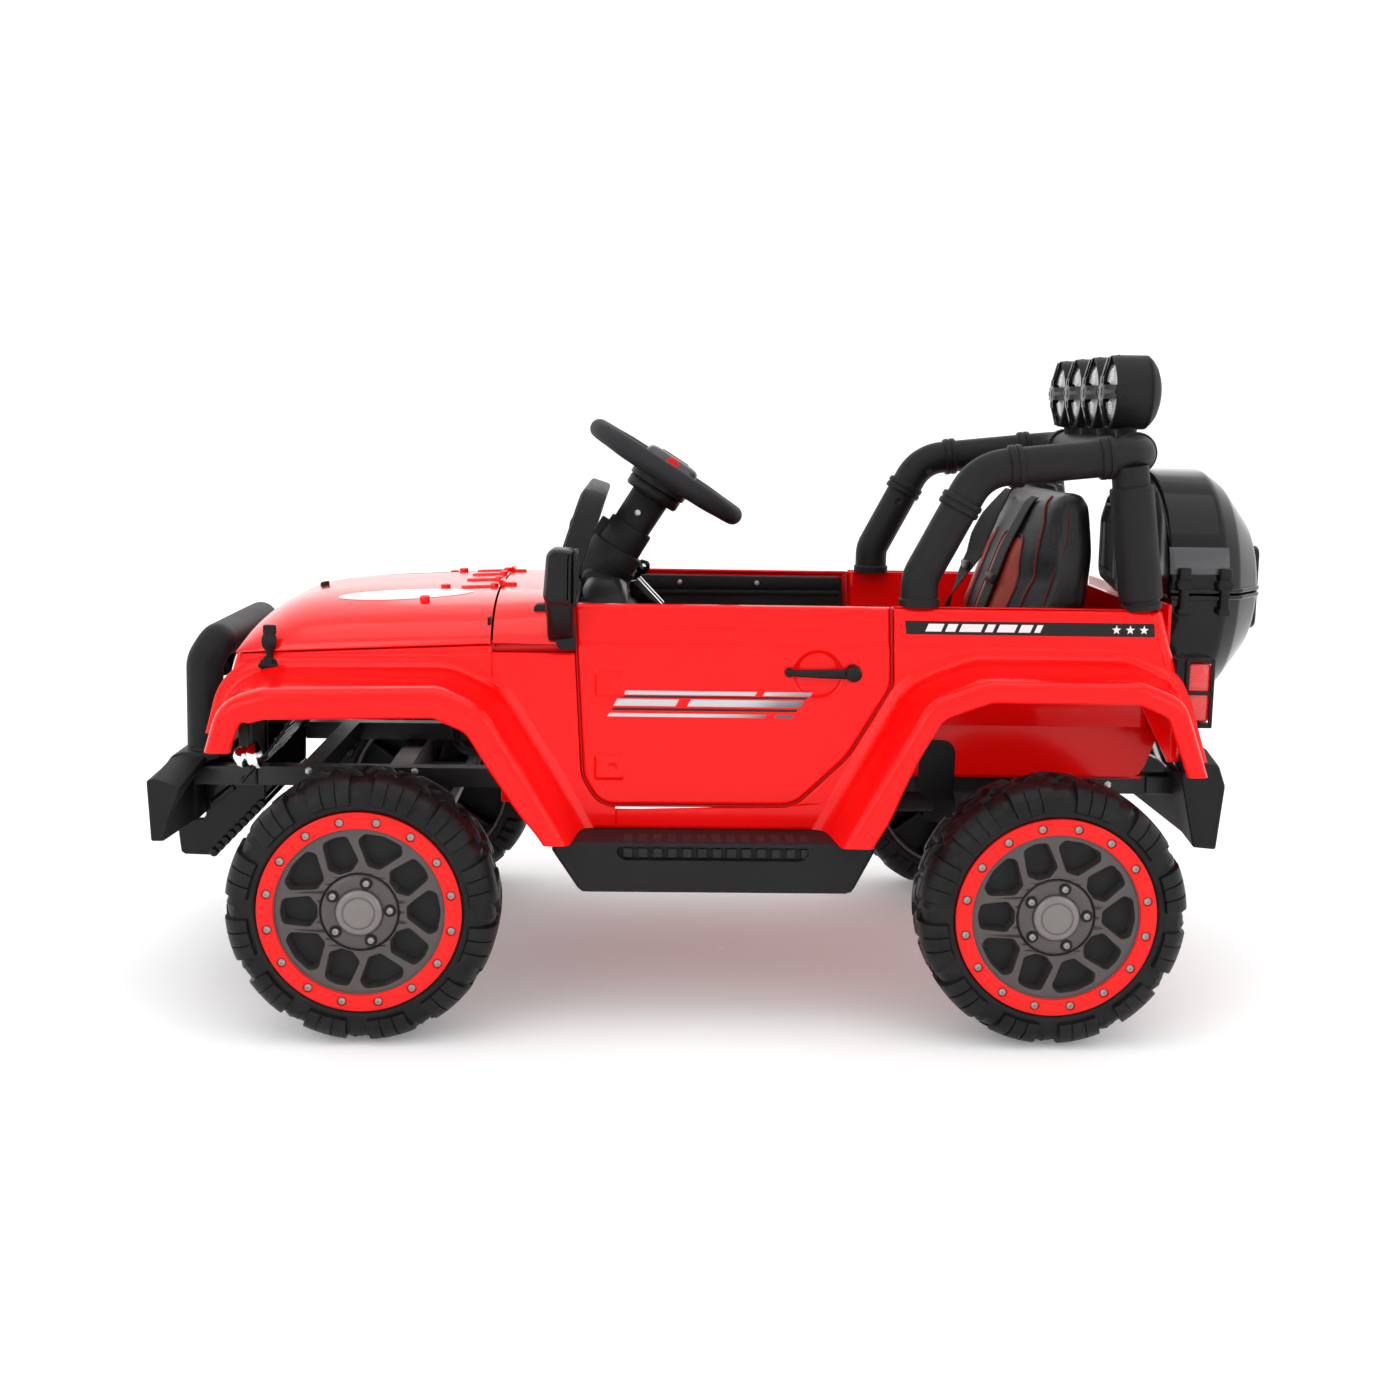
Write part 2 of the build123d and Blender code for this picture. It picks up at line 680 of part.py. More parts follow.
def on_column(distance):
    """Point on the steering axis, counted up from the hub."""
    return (0.0, wheel_hub_y + distance * column_dir[1], wheel_hub_z + distance * column_dir[2])


def column_bar(r, start, end):
    """Round bar along the steering axis between two distances from the hub."""
    plane = Plane(origin=on_column(start), x_dir=(1, 0, 0), z_dir=column_dir)
    return extrude(plane * Circle(r), end - start)


column_r = 22.0
trim_depth = 5.0
trim_gap = 4.0
dash_half = body_half - door_thickness - trim_depth - trim_gap
shaft_r = 7.0


def dashboard():
    """Dash across the tub with the column's housing."""
    upper = side_slab([(-205, 413.7), (-150, 413.7), (-118, 410), (-98, 396), (-104, 350), (-140, 326), (-205, 326)],
                      -dash_half, dash_half)
    under = side_slab([(-201, 409.7), (-151, 409.7), (-120, 406), (-103, 393), (-109, 353), (-142, 331), (-201, 320)],
                      -dash_half + wall, dash_half - wall)
    shell = upper - under
    housing = column_bar(31, -150, -98) + column_bar(column_r + 3, -150, -70)
    tube = column_bar(column_r, -150, -34)
    bore = column_bar(shaft_r + running_gap, -160, 0)
    screen_room = box((-60, 60), (-260, -136.5), (waist_z - wall - 0.3, waist_z + 23))
    return shell + (housing + tube - screen_room) - bore


def steering_wheel():
    """Hand wheel with three spokes, a padded hub and its shaft."""
    plane = Plane(origin=on_column(0), x_dir=(1, 0, 0), z_dir=column_dir)
    ring = plane.location * Torus(hand_wheel_r - hand_rim_r, hand_rim_r)
    hub = column_bar(34, -20, 12)
    spokes = Part()
    for angle in (0, 180, 270):
        spoke = Pos((hand_wheel_r - hand_rim_r) / 2, 0, -2) * Box(hand_wheel_r - hand_rim_r, 22, 9)
        spokes += plane.location * Rot(0, 0, angle) * spoke
    skirt = column_bar(30, -32, -20)
    shaft = column_bar(shaft_r, -112, -20)
    return ring + hub + spokes + skirt + shaft


def seat_shell():
    """Moulded seat box that stands on the floor behind the driver."""
    top = floor_z + wall
    block = side_slab([(60, top), (60, 296), (230, 288), (330, 300), (352, 400), (372, 400), (372, top)], -148, 148)
    block -= side_slab([(64, top - 1), (64, 292), (228, 284), (334, 296), (356, 390), (368, 390), (368, top - 1)],
                       -144, 144)
    return block


def seat_cushion():
    """Soft squab."""
    pad = side_slab([(56, 296.6), (230, 288.5), (262, 292.5), (258, 330), (220, 334), (80, 346), (56, 336)], -142, 142)
    return pad


def seat_back():
    """Soft backrest."""
    pad = side_slab([(264, 301), (322, 301.5), (351.5, 400.4), (373, 400.4), (382, 470), (372, 525), (350, 538),
                     (330, 530), (300, 470), (270, 400)], -142, 142)
    return pad


def seat_belts():
    """Two shoulder straps that lie on the backrest."""
    line = [(330.4, 531), (299.6, 470.2), (269.6, 400), (263.6, 345)]
    back = [(262, 345), (268, 400.4), (298, 470.8), (328.8, 532)]
    strap = side_slab(line + back, 40, 74)
    return both(strap)


def roll_bar():
    """Two raked hoops joined across the top by a tube, with a ring at each joint."""
    knee_y, knee_z = 185.0, 447.0
    elbow = (bar_x, 242.0, 556.0)
    end = (bar_x, bar_top_y, bar_top_z)
    hoop = tube_along(
        [(bar_x, knee_y, waist_z), (bar_x, knee_y, knee_z), elbow, end, (-bar_x, end[1], end[2]),
         (-elbow[0], elbow[1], elbow[2]), (-bar_x, knee_y, knee_z), (-bar_x, knee_y, waist_z)],
        [30, 48, 40, 40, 48, 30], bar_r)
    leg = straight_tube((bar_x, 412, waist_z), (bar_x, 392, 562), bar_r)
    sleeve = straight_tube((bar_x, 411, 428), (bar_x, 395, 542), bar_r + 3)
    hoop += both(leg + sleeve)
    collars = ((223.0, 521.0, 27.6), (277.0, 560.0, 83.9), (367.5, 569.7, 83.9))
    for y, z, lean in collars:
        direction = (0, sin(radians(lean)), cos(radians(lean)))
        plane = Plane(origin=(bar_x, y, z), x_dir=(1, 0, 0), z_dir=direction)
        hoop += both(extrude(plane * Circle(bar_r + 3), 6, both=True))
    return hoop & box((-300, 300), (0, 500), (waist_z, 700))


def bar_panels():
    """Meshed side panels inboard of the rear legs."""
    frame = outline([(96, 440), (177.7, 432), (177.7, 532), (116, 532), (96, 512)])
    panel = Pos(0, 402, 0) * extrude(Plane.XZ * frame, 12)
    return both(panel)


def lamp_places():
    """Across-the-car place of each roof lamp."""
    return [lamp_spacing * (i - 1.5) for i in range(4)]


lamp_y = 410.0
lamp_z = 636.0


def roof_lamps():
    """Round lamp housings with guards, each on a stalk from the cross tube."""
    housing = Part()
    for x in lamp_places():
        body = barrel(x, lamp_z, lamp_y - 22, lamp_y + 4, lamp_r)
        dome = Pos(x, lamp_y + 2, lamp_z) * scale(Sphere(lamp_r), (1, 0.72, 1))
        body += dome & box((x - 50, x + 50), (lamp_y + 2, lamp_y + 60), (500, 700))
        body -= barrel(x, lamp_z, lamp_y - 23, lamp_y - 8, lamp_r - 4)
        for turn in (0, 90, 180, 270):
            bar = Rot(0, turn, 0) * box((-4, 4), (-30, -22), (14, lamp_r))
            body += Pos(x, lamp_y, lamp_z) * bar
        body += barrel(x, lamp_z, lamp_y - 30, lamp_y - 22, 16)
        body += post(x, bar_top_y, bar_top_z + bar_r - 1.5, lamp_z - lamp_r + 2, 13)
        housing += body
    return housing - rod(-200, 200, bar_top_y, bar_top_z, bar_r)


def roof_lenses():
    """Reflector and lens of each roof lamp."""
    lenses = Part()
    for x in lamp_places():
        lenses += barrel(x, lamp_z, lamp_y - 20, lamp_y - 8, lamp_r - 4.3)
    return lenses


case_hinge_x = -case_r - 4


def case_form(inset):
    """Drum of the spare-wheel case, domed at its back, smaller by an inset."""
    r = case_r - inset
    back = 575.0 - inset
    section = outline([
        (0, case_front_y + inset), (r, case_front_y + inset), (r, case_rim_y), (r - 14, 540), (70, back), (0, back),
    ])
    return Pos(0, 0, case_z) * revolve(section, Axis.Y)


def case_halves():
    """Lower bowl and lid of the case, split level at its middle."""
    drum = case_form(0) - case_form(case_wall)
    base = drum & box((-200, 200), (400, 620), (200, case_z - 0.2))
    lid = drum & box((-200, 200), (400, 620), (case_z + 0.2, 700))
    base += box((-30, 30), (574, 589), (case_z - 48, case_z - 0.2))
    lid += box((-30, 30), (574, 589), (case_z + 0.2, case_z + 46))
    mount = side_slab([(tub_rear_top_y + 12, 378), (case_front_y, 378), (case_front_y, 318), (tub_rear_low_y + 0.3, 318),
                       (tub_rear_low_y + 0.3, 328)], -70, 70)
    base += mount
    for y0, y1, part in ((474, 486, "base"), (486.5, 500, "lid")):
        leaf_z = (case_z - 12, case_z) if part == "base" else (case_z, case_z + 12)
        knuckle_piece = barrel(case_hinge_x, case_z, y0, y1, 3.2)
        leaf = box((case_hinge_x, -case_r + 3), (y0, y1), leaf_z)
        if part == "base":
            base += knuckle_piece + leaf + barrel(case_hinge_x, case_z, y0, y1 + 14, 1.5)
        else:
            lid += knuckle_piece + leaf
            lid -= barrel(case_hinge_x, case_z, y0 - 1, y1 + 2, 1.5 + running_gap)
    return base, lid


def case_latches():
    """Toggle latches that come down from the lid over the bowl's edge."""
    piece = Part()
    for y in (475.0, 518.0):
        piece += box((case_r - 3, case_r + 8), (y - 8, y + 8), (case_z + 2, case_z + 28)) - case_form(-0.1)
        piece += box((case_r + 1.2, case_r + 7), (y - 6, y + 6), (case_z - 22, case_z + 4))
    return piece


def door():
    """Left door pan with its pressed rim and the recess behind the handle."""
    outer = outline(door_outline)
    x0 = body_half - door_thickness
    pan = Pos(x0, 0, 0) * extrude(Plane.YZ * outer, door_thickness)
    pan -= Pos(x0 - 1, 0, 0) * extrude(Plane.YZ * offset(outer, -6, kind=Kind.INTERSECTION), door_thickness - wall + 1)
    pan -= rod(body_half - 2, body_half + 1, 83, 351, 25)
    for z in door_hinge_z:
        pan += box((body_half + 0.4, hinge_x), (hinge_y, hinge_y + 9), (z - 8, z - 0.3))
        pan += box((body_half - 1, hinge_x), (hinge_y + 8, hinge_y + 32), (z - 8, z - 0.3))
        pan += hinge_knuckle(z - 8, z - 0.3)
        pan -= post(hinge_x, hinge_y, z - 9, z + 1, hinge_pin_r + running_gap)
        pan -= post(hinge_x, hinge_y, z - 0.3, z + 9, hinge_r + 0.6)
    return pan


def door_fittings():
    """Left door's inner trim and outer pull handle."""
    x0 = body_half - door_thickness
    face = offset(outline(door_outline), -trim_depth, kind=Kind.INTERSECTION)
    trim = Pos(x0 - trim_depth, 0, 0) * extrude(Plane.YZ * face, trim_depth)
    handle = side_slab([(50, 347), (120, 346), (124, 352), (120, 359), (50, 357)], body_half + 5, body_half + 13)
    handle += rod(body_half, body_half + 14, 118, 352, 8)
    handle += rod(body_half, body_half + 6, 54, 352, 4)
    return trim, handle


def hood_latches():
    """Rubber straps that hang from the hood's sides, clear of the wings."""
    rear_y = -466.0
    inner = nose_x(rear_y) + 0.3
    strap = box((inner, inner + 5), (rear_y - 14, rear_y - 4), (352, 392))
    strap += box((inner - 5, inner + 5), (rear_y - 18, rear_y), (384, 394))
    return strap - hood_form(0)


def battery():
    """Sealed battery block on the bay's floor."""
    return box((-75.5, 75.5), (-345, -280), (bay_floor_z + wall, bay_floor_z + wall + 70))


save("chassis", chassis())
save("rear_axle", rear_axle())
save("rear_gearboxes", rear_gearboxes())
save("front_beam", front_beam())
save("knuckle_left", knuckle())
save("knuckle_right", mirrored(knuckle()))
save("front_gearbox_left", front_gearbox())
save("front_gearbox_right", mirrored(front_gearbox()))
save("tie_rod", tie_rod())
for name, side, y in corners:
    save(f"tyre_{name}", to_corner(tyre(), side, y))
    save(f"rim_{name}", to_corner(rim(), side, y))
    save(f"bead_ring_{name}", to_corner(bead_ring(), side, y))
save("body_shell", body_shell() + hood_hinge_halves())
save("hood", hood())
save("grille_panel", grille_panel())
save("head_lamps", head_lamps())
save("front_bumper", front_bumper())
save("bull_bar", bull_bar())
save("skid_plate", skid_plate())
save("side_steps", side_steps())
save("rear_bumper", rear_bumper())
save("tail_lamps", tail_lamps())
save("windscreen_frame", windscreen_frame())
save("mirrors", mirrors())
save("dashboard", dashboard())
save("steering_wheel", steering_wheel())
save("seat_shell", seat_shell())
save("seat_cushion", seat_cushion())
save("seat_back", seat_back())
save("seat_belts", seat_belts())
save("roll_bar", roll_bar())
save("bar_panels", bar_panels())
save("roof_lamps", roof_lamps())
save("roof_lenses", roof_lenses())
case_base, case_lid = case_halves()
save("spare_case_base", case_base)
save("spare_case_lid", case_lid)
save("case_latches", case_latches())
save("battery", battery())
door_trim, door_handle = door_fittings()
for name, place in (("left", lambda shape: shape), ("right", mirrored)):
    save(f"door_{name}", place(door()))
    save(f"door_trim_{name}", place(door_trim))
    save(f"door_handle_{name}", place(door_handle))
save("hood_latches", both(hood_latches()))
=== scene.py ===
"""A child's ride-on off-road 4x4, dressed over its packed frame.

Lengths are in millimetres in every shape function; the mesh maker turns them into metres.
The nose points to -Y, the vehicle's left is +X and the floor is Z = 0.
"""
import math

import bmesh
import bpy
import numpy as np
from mathutils.bvhtree import BVHTree
from mathutils.geometry import tessellate_polygon
from mathutils import Matrix, Vector


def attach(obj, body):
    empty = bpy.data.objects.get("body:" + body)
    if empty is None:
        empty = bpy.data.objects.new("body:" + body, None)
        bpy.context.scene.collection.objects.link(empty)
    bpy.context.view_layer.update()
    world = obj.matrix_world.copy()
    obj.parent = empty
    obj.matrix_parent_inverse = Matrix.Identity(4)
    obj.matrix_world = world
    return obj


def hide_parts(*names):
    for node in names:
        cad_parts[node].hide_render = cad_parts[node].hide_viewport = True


bl_info = {
    "name": "Ride-on 4x4 dressing",
    "version": (1, 0, 0),
    "blender": (4, 5, 0),
    "location": "View3D > Sidebar > Ride-on",
    "description": "Builds the visible shells, wheels, trim and soft parts of a child's ride-on 4x4",
    "category": "Add Mesh",
}

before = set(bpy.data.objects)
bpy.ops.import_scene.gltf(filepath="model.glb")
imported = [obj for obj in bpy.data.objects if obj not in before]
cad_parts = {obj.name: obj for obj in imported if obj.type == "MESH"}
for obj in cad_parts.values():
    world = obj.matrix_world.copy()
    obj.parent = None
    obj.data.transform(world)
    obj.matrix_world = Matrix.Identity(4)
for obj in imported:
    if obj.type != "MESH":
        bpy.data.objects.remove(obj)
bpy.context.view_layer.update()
MM = 0.001
X, Y, Z = (1, 0, 0), (0, 1, 0), (0, 0, 1)


# Settings that the panel shows

def length(label, text, millimetres):
    """A length setting, kept in metres, with its default given in millimetres."""
    return bpy.props.FloatProperty(name=label, description=text, default=millimetres * MM, min=0,
        precision=4, unit="LENGTH")


def colour(label, text, default):
    """A colour setting in linear red, green and blue."""
    return bpy.props.FloatVectorProperty(name=label, description=text, subtype="COLOR", size=3, min=0,
        max=1, default=default)


class ToySizes(bpy.types.PropertyGroup):
    """Lengths that can be changed in the panel before building."""

    skin_wall: length("Skin wall", "Thickness of the hood's and the doors' moulded skins", 3.0)
    tread_depth: length("Tread depth", "Height of the tyres' blocks over their base", 4.6)
    roll_bar_radius: length("Roll bar radius", "Outer radius of the roll bar's tubes", 18.8)
    bull_bar_radius: length("Bull bar radius", "Outer radius of the tube hoop on the front bumper", 18.9)
    grip_radius: length("Grip radius", "Least radius of the hand wheel's grip", 10.6)
    seat_swell: length("Seat swell", "Most that the seat's pads swell beyond their pattern", 3.5)
    strap_width: length("Strap width", "Width of the seat's belt webbing", 33.0)


class ToyColours(bpy.types.PropertyGroup):
    """Colours that can be changed in the panel before building."""

    body_red: colour("Body red", "Gloss plastic of the tub, the doors and the hood", (0.93, 0.003, 0.003))
    ring_red: colour("Ring red", "Bead rings on the wheels", (0.80, 0.010, 0.008))
    trim_black: colour("Trim black", "Grained plastic of the bumpers and bars", (0.0075, 0.0078, 0.0085))
    rim_grey: colour("Rim grey", "Moulded wheel faces", (0.085, 0.075, 0.074))
    seat_red: colour("Seat red", "Leather inserts of the seat", (0.26, 0.030, 0.016))


def chosen(name):
    """A length setting in millimetres."""
    return round(getattr(bpy.context.scene.toy_sizes, name) / MM, 4)


OPERATORS = []


def operator(name, label):
    """Makes the Operator class that runs a builder, with the builder's own docstring."""
    def wrap(build):
        def execute(self, context):
            build()
            return {"FINISHED"}

        OPERATORS.append(type("TOY_OT_" + name, (bpy.types.Operator,),
            {"bl_idname": "toy." + name, "bl_label": label, "__doc__": build.__doc__, "execute": execute}))
        return build
    return wrap


# Shapes: vertices and faces worked out as arrays

class Shape:
    """Vertices in millimetres with faces as index arrays of four or more corners."""

    def __init__(self, points, faces):
        self.points = np.asarray(points, float).reshape(-1, 3)
        self.faces = faces

    def __add__(self, other):
        shift = len(self.points)
        faces = self.faces + [f + shift for f in other.faces]
        return Shape(np.vstack([self.points, other.points]), faces)

    def moved(self, offset):
        """The shape shifted by a vector."""
        return Shape(self.points + np.asarray(offset, float), self.faces)

    def turned(self, axis, degrees, centre=(0, 0, 0)):
        """The shape turned about an axis through a centre."""
        spin = np.array(Matrix.Rotation(math.radians(degrees), 3, Vector(axis)))
        centre = np.asarray(centre, float)
        return Shape((self.points - centre) @ spin.T + centre, self.faces)

    def on_side(self, side):
        """The shape on the vehicle's left for a side of 1, and on its right for -1."""
        return Shape(self.points * (side, 1, 1), self.faces)

    def mirrored(self):
        """The same shape on the vehicle's other side."""
        return self.on_side(-1)


def joined(shapes):
    """One shape from several."""
    total = None
    for shape in shapes:
        total = shape if total is None else total + shape
    return total


def both_sides(shape):
    """A left-hand shape with its right-hand copy."""
    return shape + shape.mirrored()


def grid(points, wrap_u=False, wrap_v=False, cap_u=False):
    """Quads over a grid P(u, v); wrap joins an edge to its opposite, cap closes the end rings."""
    points = np.asarray(points, float)
    rows, cols = points.shape[:2]
    index = np.arange(rows * cols).reshape(rows, cols)
    a = np.vstack([index, index[:1]]) if wrap_u else index
    a = np.hstack([a, a[:, :1]]) if wrap_v else a
    quads = np.stack([a[:-1, :-1], a[1:, :-1], a[1:, 1:], a[:-1, 1:]], axis=-1).reshape(-1, 4)
    faces = list(quads)
    if cap_u:
        faces += [index[0], index[-1][::-1]]
    return Shape(points.reshape(-1, 3), faces)


def set_at(x, line):
    """A line of (Y, Z) points, set at a place across."""
    line = np.asarray(line, float)
    return np.column_stack([np.full(len(line), x), line])


def solid(rings):
    """Skin through closed rings, with both ends filled."""
    return grid(rings, wrap_v=True, cap_u=True)


def unit(v):
    """Vectors scaled to length one."""
    v = np.asarray(v, float)
    return v / np.maximum(np.linalg.norm(v, axis=-1, keepdims=True), 1e-12)


def rounded(points, radii, closed=False, steps=6):
    """Polyline whose corners are arcs: each corner's arc starts r*tan(turn/2) before it."""
    points = np.asarray(points, float)
    count = len(points)
    radii = np.broadcast_to(np.asarray(radii, float), (count,))
    out = []
    for i in range(count):
        p = points[i]
        if (not closed and i in (0, count - 1)) or radii[i] <= 0:
            out.append(p[None])
            continue
        a = unit(points[i - 1] - p)
        b = unit(points[(i + 1) % count] - p)
        half = math.acos(np.clip(np.dot(a, b), -1, 1)) / 2
        if half > math.pi / 2 - 1e-3:
            out.append(p[None])
            continue
        reach = radii[i] / math.tan(half)
        room = 0.49 * min(np.linalg.norm(points[i - 1] - p), np.linalg.norm(points[(i + 1) % count] - p))
        reach = min(reach, room)
        r = reach * math.tan(half)
        centre = p + unit(a + b) * (r / math.sin(half))
        start, end = p + a * reach - centre, p + b * reach - centre
        sweep = math.acos(np.clip(np.dot(unit(start), unit(end)), -1, 1))
        t = np.linspace(0, 1, steps + 1)[:, None]
        arc = (np.sin((1 - t) * sweep) * start + np.sin(t * sweep) * end) / math.sin(sweep)
        out.append(arc + centre)
    return np.vstack(out)


def resampled(line, count, closed=False):
    """Points evenly spaced along a polyline."""
    line = np.asarray(line, float)
    if closed:
        line = np.vstack([line, line[:1]])
    length = np.concatenate([[0], np.cumsum(np.linalg.norm(np.diff(line, axis=0), axis=1))])
    at = np.linspace(0, length[-1], count + (1 if closed else 0))
    if closed:
        at = at[:-1]
    return np.stack([np.interp(at, length, line[:, k]) for k in range(line.shape[1])], axis=1)


def circle(r, count=32):
    """Points round a circle in a section's own two axes."""
    t = np.linspace(0, 2 * math.pi, count, endpoint=False)
    return np.stack([r * np.cos(t), r * np.sin(t)], axis=1)


def rounded_box_line(w, h, r, steps=4):
    """Closed rectangle outline with rounded corners, about its centre."""
    corners = [(-w / 2, -h / 2), (w / 2, -h / 2), (w / 2, h / 2), (-w / 2, h / 2)]
    return rounded(corners, r, closed=True, steps=steps)


def path_frames(path):
    """Two normals along a path, carried from point to point with no twist."""
    path = np.asarray(path, float)
    tangent = unit(np.gradient(path, axis=0))
    normal = np.zeros_like(path)
    guess = np.array([1.0, 0, 0]) if abs(tangent[0][0]) < 0.9 else np.array([0, 0, 1.0])
    n = unit(guess - tangent[0] * guess.dot(tangent[0]))
    for i, t in enumerate(tangent):
        n = unit(n - t * n.dot(t))
        normal[i] = n
    return normal, np.cross(tangent, normal)


def swept(section, path, scale=None):
    """A closed section carried along a path: P = path + s * (a * normal + b * binormal)."""
    n, b = path_frames(path)
    size = np.ones(len(path)) if scale is None else np.asarray(scale, float)
    section = np.asarray(section, float)
    points = (np.asarray(path)[:, None] + size[:, None, None] * (section[None, :, :1] * n[:, None]
        + section[None, :, 1:] * b[:, None]))
    return solid(points)


def tube(path, r, count=28):
    """Round tube; r may be one radius or one for each point of the path."""
    path = np.asarray(path, float)
    return swept(circle(1, count), path, np.broadcast_to(r, (len(path),)))


def revolved(profile, origin=(0, 0, 0), axis=Z, count=64):
    """Profile of (distance along, radius) turned about an axis through an origin."""
    profile = np.asarray(profile, float)
    axis = unit(axis)
    guess = np.array([0, 0, 1.0]) if abs(axis[2]) < 0.9 else np.array([0, 1.0, 0])
    n = unit(guess - axis * guess.dot(axis))
    b = np.cross(axis, n)
    t = np.linspace(0, 2 * math.pi, count, endpoint=False)
    ring = np.cos(t)[:, None] * n + np.sin(t)[:, None] * b
    points = (np.asarray(origin, float) + profile[:, None, :1] * axis + profile[:, None, 1:] * ring[None])
    return grid(points, wrap_v=True)


def extruded(line, x0, x1):
    """Closed outline in Y and Z, carried straight along X between two places."""
    line = np.asarray(line, float)
    rows = [set_at(x, line) for x in (x0, x1)]
    return solid(rows)


def block(x, y, z, r=0.0):
    """Block between pairs on each axis, with its edges rounded by a small radius."""
    low = np.array([x[0], y[0], z[0]], float)
    high = np.array([x[1], y[1], z[1]], float)
    r = min(r, 0.49 * (high - low).min())
    if r <= 0:
        line = [(low[1], low[2]), (high[1], low[2]), (high[1], high[2]), (low[1], high[2])]
        return extruded(line, low[0], high[0])
    w, h = high[1] - low[1], high[2] - low[2]
    line = rounded_box_line(w, h, r, 3) + (low[1:] + high[1:]) / 2
    centre = line.mean(axis=0)
    rows = []
    for x_at, shrink in ((low[0], r), (low[0] + r * 0.3, r * 0.3), (low[0] + r, 0), (high[0] - r, 0),
            (high[0] - r * 0.3, r * 0.3), (high[0], r)):
        fit = (np.array([w, h]) / 2 - shrink) / (np.array([w, h]) / 2)
        row = (line - centre) * fit + centre
        rows.append(set_at(x_at, row))
    return solid(rows)


def make(name, shape, finish, node=None, body="body", bevel=0.0, sharp=38.0,
        solidify=0.0):
    """A mesh object from a shape: finished, riding on a body, in a node's place, with its record slot."""
    mesh = bpy.data.meshes.new(name)
    mesh.from_pydata((shape.points * MM).tolist(), [], [list(map(int, f)) for f in shape.faces])
    work = bmesh.new()
    work.from_mesh(mesh)
    bmesh.ops.remove_doubles(work, verts=work.verts, dist=2e-6)
    bmesh.ops.dissolve_degenerate(work, edges=work.edges, dist=1e-6)
    bmesh.ops.recalc_face_normals(work, faces=work.faces)
    work.to_mesh(mesh)
    work.free()
    mesh.shade_smooth()
    mesh.set_sharp_from_angle(angle=math.radians(sharp))
    mesh.materials.append(M[finish])
    piece = bpy.data.objects.new(name, mesh)
    bpy.context.scene.collection.objects.link(piece)
    if solidify:
        wall = piece.modifiers.new("Wall", "SOLIDIFY")
        wall.thickness, wall.offset = solidify * MM, -1
    if bevel:
        edge = piece.modifiers.new("Edges", "BEVEL")
        edge.width, edge.segments, edge.limit_method = bevel * MM, 2, "ANGLE"
        edge.angle_limit, edge.harden_normals = math.radians(sharp), True
    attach(piece, body)
    if node:
        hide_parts(node)
    return piece


# Materials: each one a formula over object coordinates

class Socket:
    """A shader socket that takes part in sums: each operator adds one Math node."""

    def __init__(self, finish, socket):
        self.finish, self.socket = finish, socket

    def math(self, kind, first, second=None):
        """Math node of a kind over one or two terms."""
        terms = {0: first} if second is None else {0: first, 1: second}
        return self.finish.node("ShaderNodeMath", {"operation": kind}, terms)

    def __add__(self, other):
        return self.math("ADD", self, other)

    def __sub__(self, other):
        return self.math("SUBTRACT", self, other)

    def __rsub__(self, other):
        return self.math("SUBTRACT", other, self)

    def __mul__(self, other):
        return self.math("MULTIPLY", self, other)

    __radd__ = __add__
    __rmul__ = __mul__

    def sine(self):
        """Sine of the value."""
        return self.math("SINE", self)

    def smooth(self, low, high):
        """0 below low, 1 above high and a smooth step between them."""
        return self.finish.node("ShaderNodeMapRange", {"interpolation_type": "SMOOTHSTEP"},
            {"Value": self, "From Min": low, "From Max": high}, "Result")


class Finish:
    """A Principled material under construction."""

    def __init__(self, name, colour, roughness=0.5, metallic=0.0, coat=0.0, specular=0.5):
        self.material = bpy.data.materials.new(name)
        self.material.use_nodes = True
        self.tree = self.material.node_tree
        self.shader = self.tree.nodes["Principled BSDF"]
        self.material.diffuse_color = (*colour, 1)
        for entry, value in (("Base Color", (*colour, 1)), ("Roughness", roughness), ("Metallic", metallic),
                ("Coat Weight", coat), ("Specular IOR Level", specular)):
            self.shader.inputs[entry].default_value = value
        self.at = self.node("ShaderNodeTexCoord", {}, {}, "Object")

    def node(self, kind, settings, sockets, out=0):
        """One node: its settings first, then the value or the link of each socket."""
        node = self.tree.nodes.new(kind)
        for name, value in settings.items():
            setattr(node, name, value)
        for entry, value in sockets.items():
            if isinstance(value, Socket):
                self.tree.links.new(value.socket, node.inputs[entry])
            else:
                node.inputs[entry].default_value = value
        return Socket(self, node.outputs[out])

    def axis(self, letter):
        """Object coordinate along one axis, in metres."""
        return self.node("ShaderNodeSeparateXYZ", {}, {0: self.at}, "XYZ".index(letter))

    def noise(self, scale, detail=2.0, rough=0.5, stretch=None):
        """Noise over the object's place, about 0.5; stretch scales the place along each axis first."""
        place = self.at
        if stretch:
            place = self.node("ShaderNodeMapping", {}, {"Vector": place, "Scale": stretch})
        return self.node("ShaderNodeTexNoise", {}, {"Vector": place, "Scale": scale, "Detail": detail,
            "Roughness": rough}, "Fac")

    def cells(self, scale):
        """Distance to the nearest of scattered points."""
        return self.node("ShaderNodeTexVoronoi", {"feature": "F1"}, {"Vector": self.at, "Scale": scale},
            "Distance")

    def ramp(self, value, first, second):
        """Colour between two, by a value from 0 to 1."""
        return self.node("ShaderNodeMix", {"data_type": "RGBA"},
            {"Factor": value, "A": (*first, 1), "B": (*second, 1)}, "Result")

    def put(self, entry, value):
        """Links a varying value to one of the shader's entries."""
        self.tree.links.new(value.socket, self.shader.inputs[entry])

    def bump(self, height, depth_mm, strength=1.0):
        """Raises the surface by a height from 0 to 1, over a depth."""
        raised = self.node("ShaderNodeBump", {}, {"Distance": depth_mm * MM, "Strength": strength,
            "Height": height})
        self.put("Normal", raised)
        return self.material


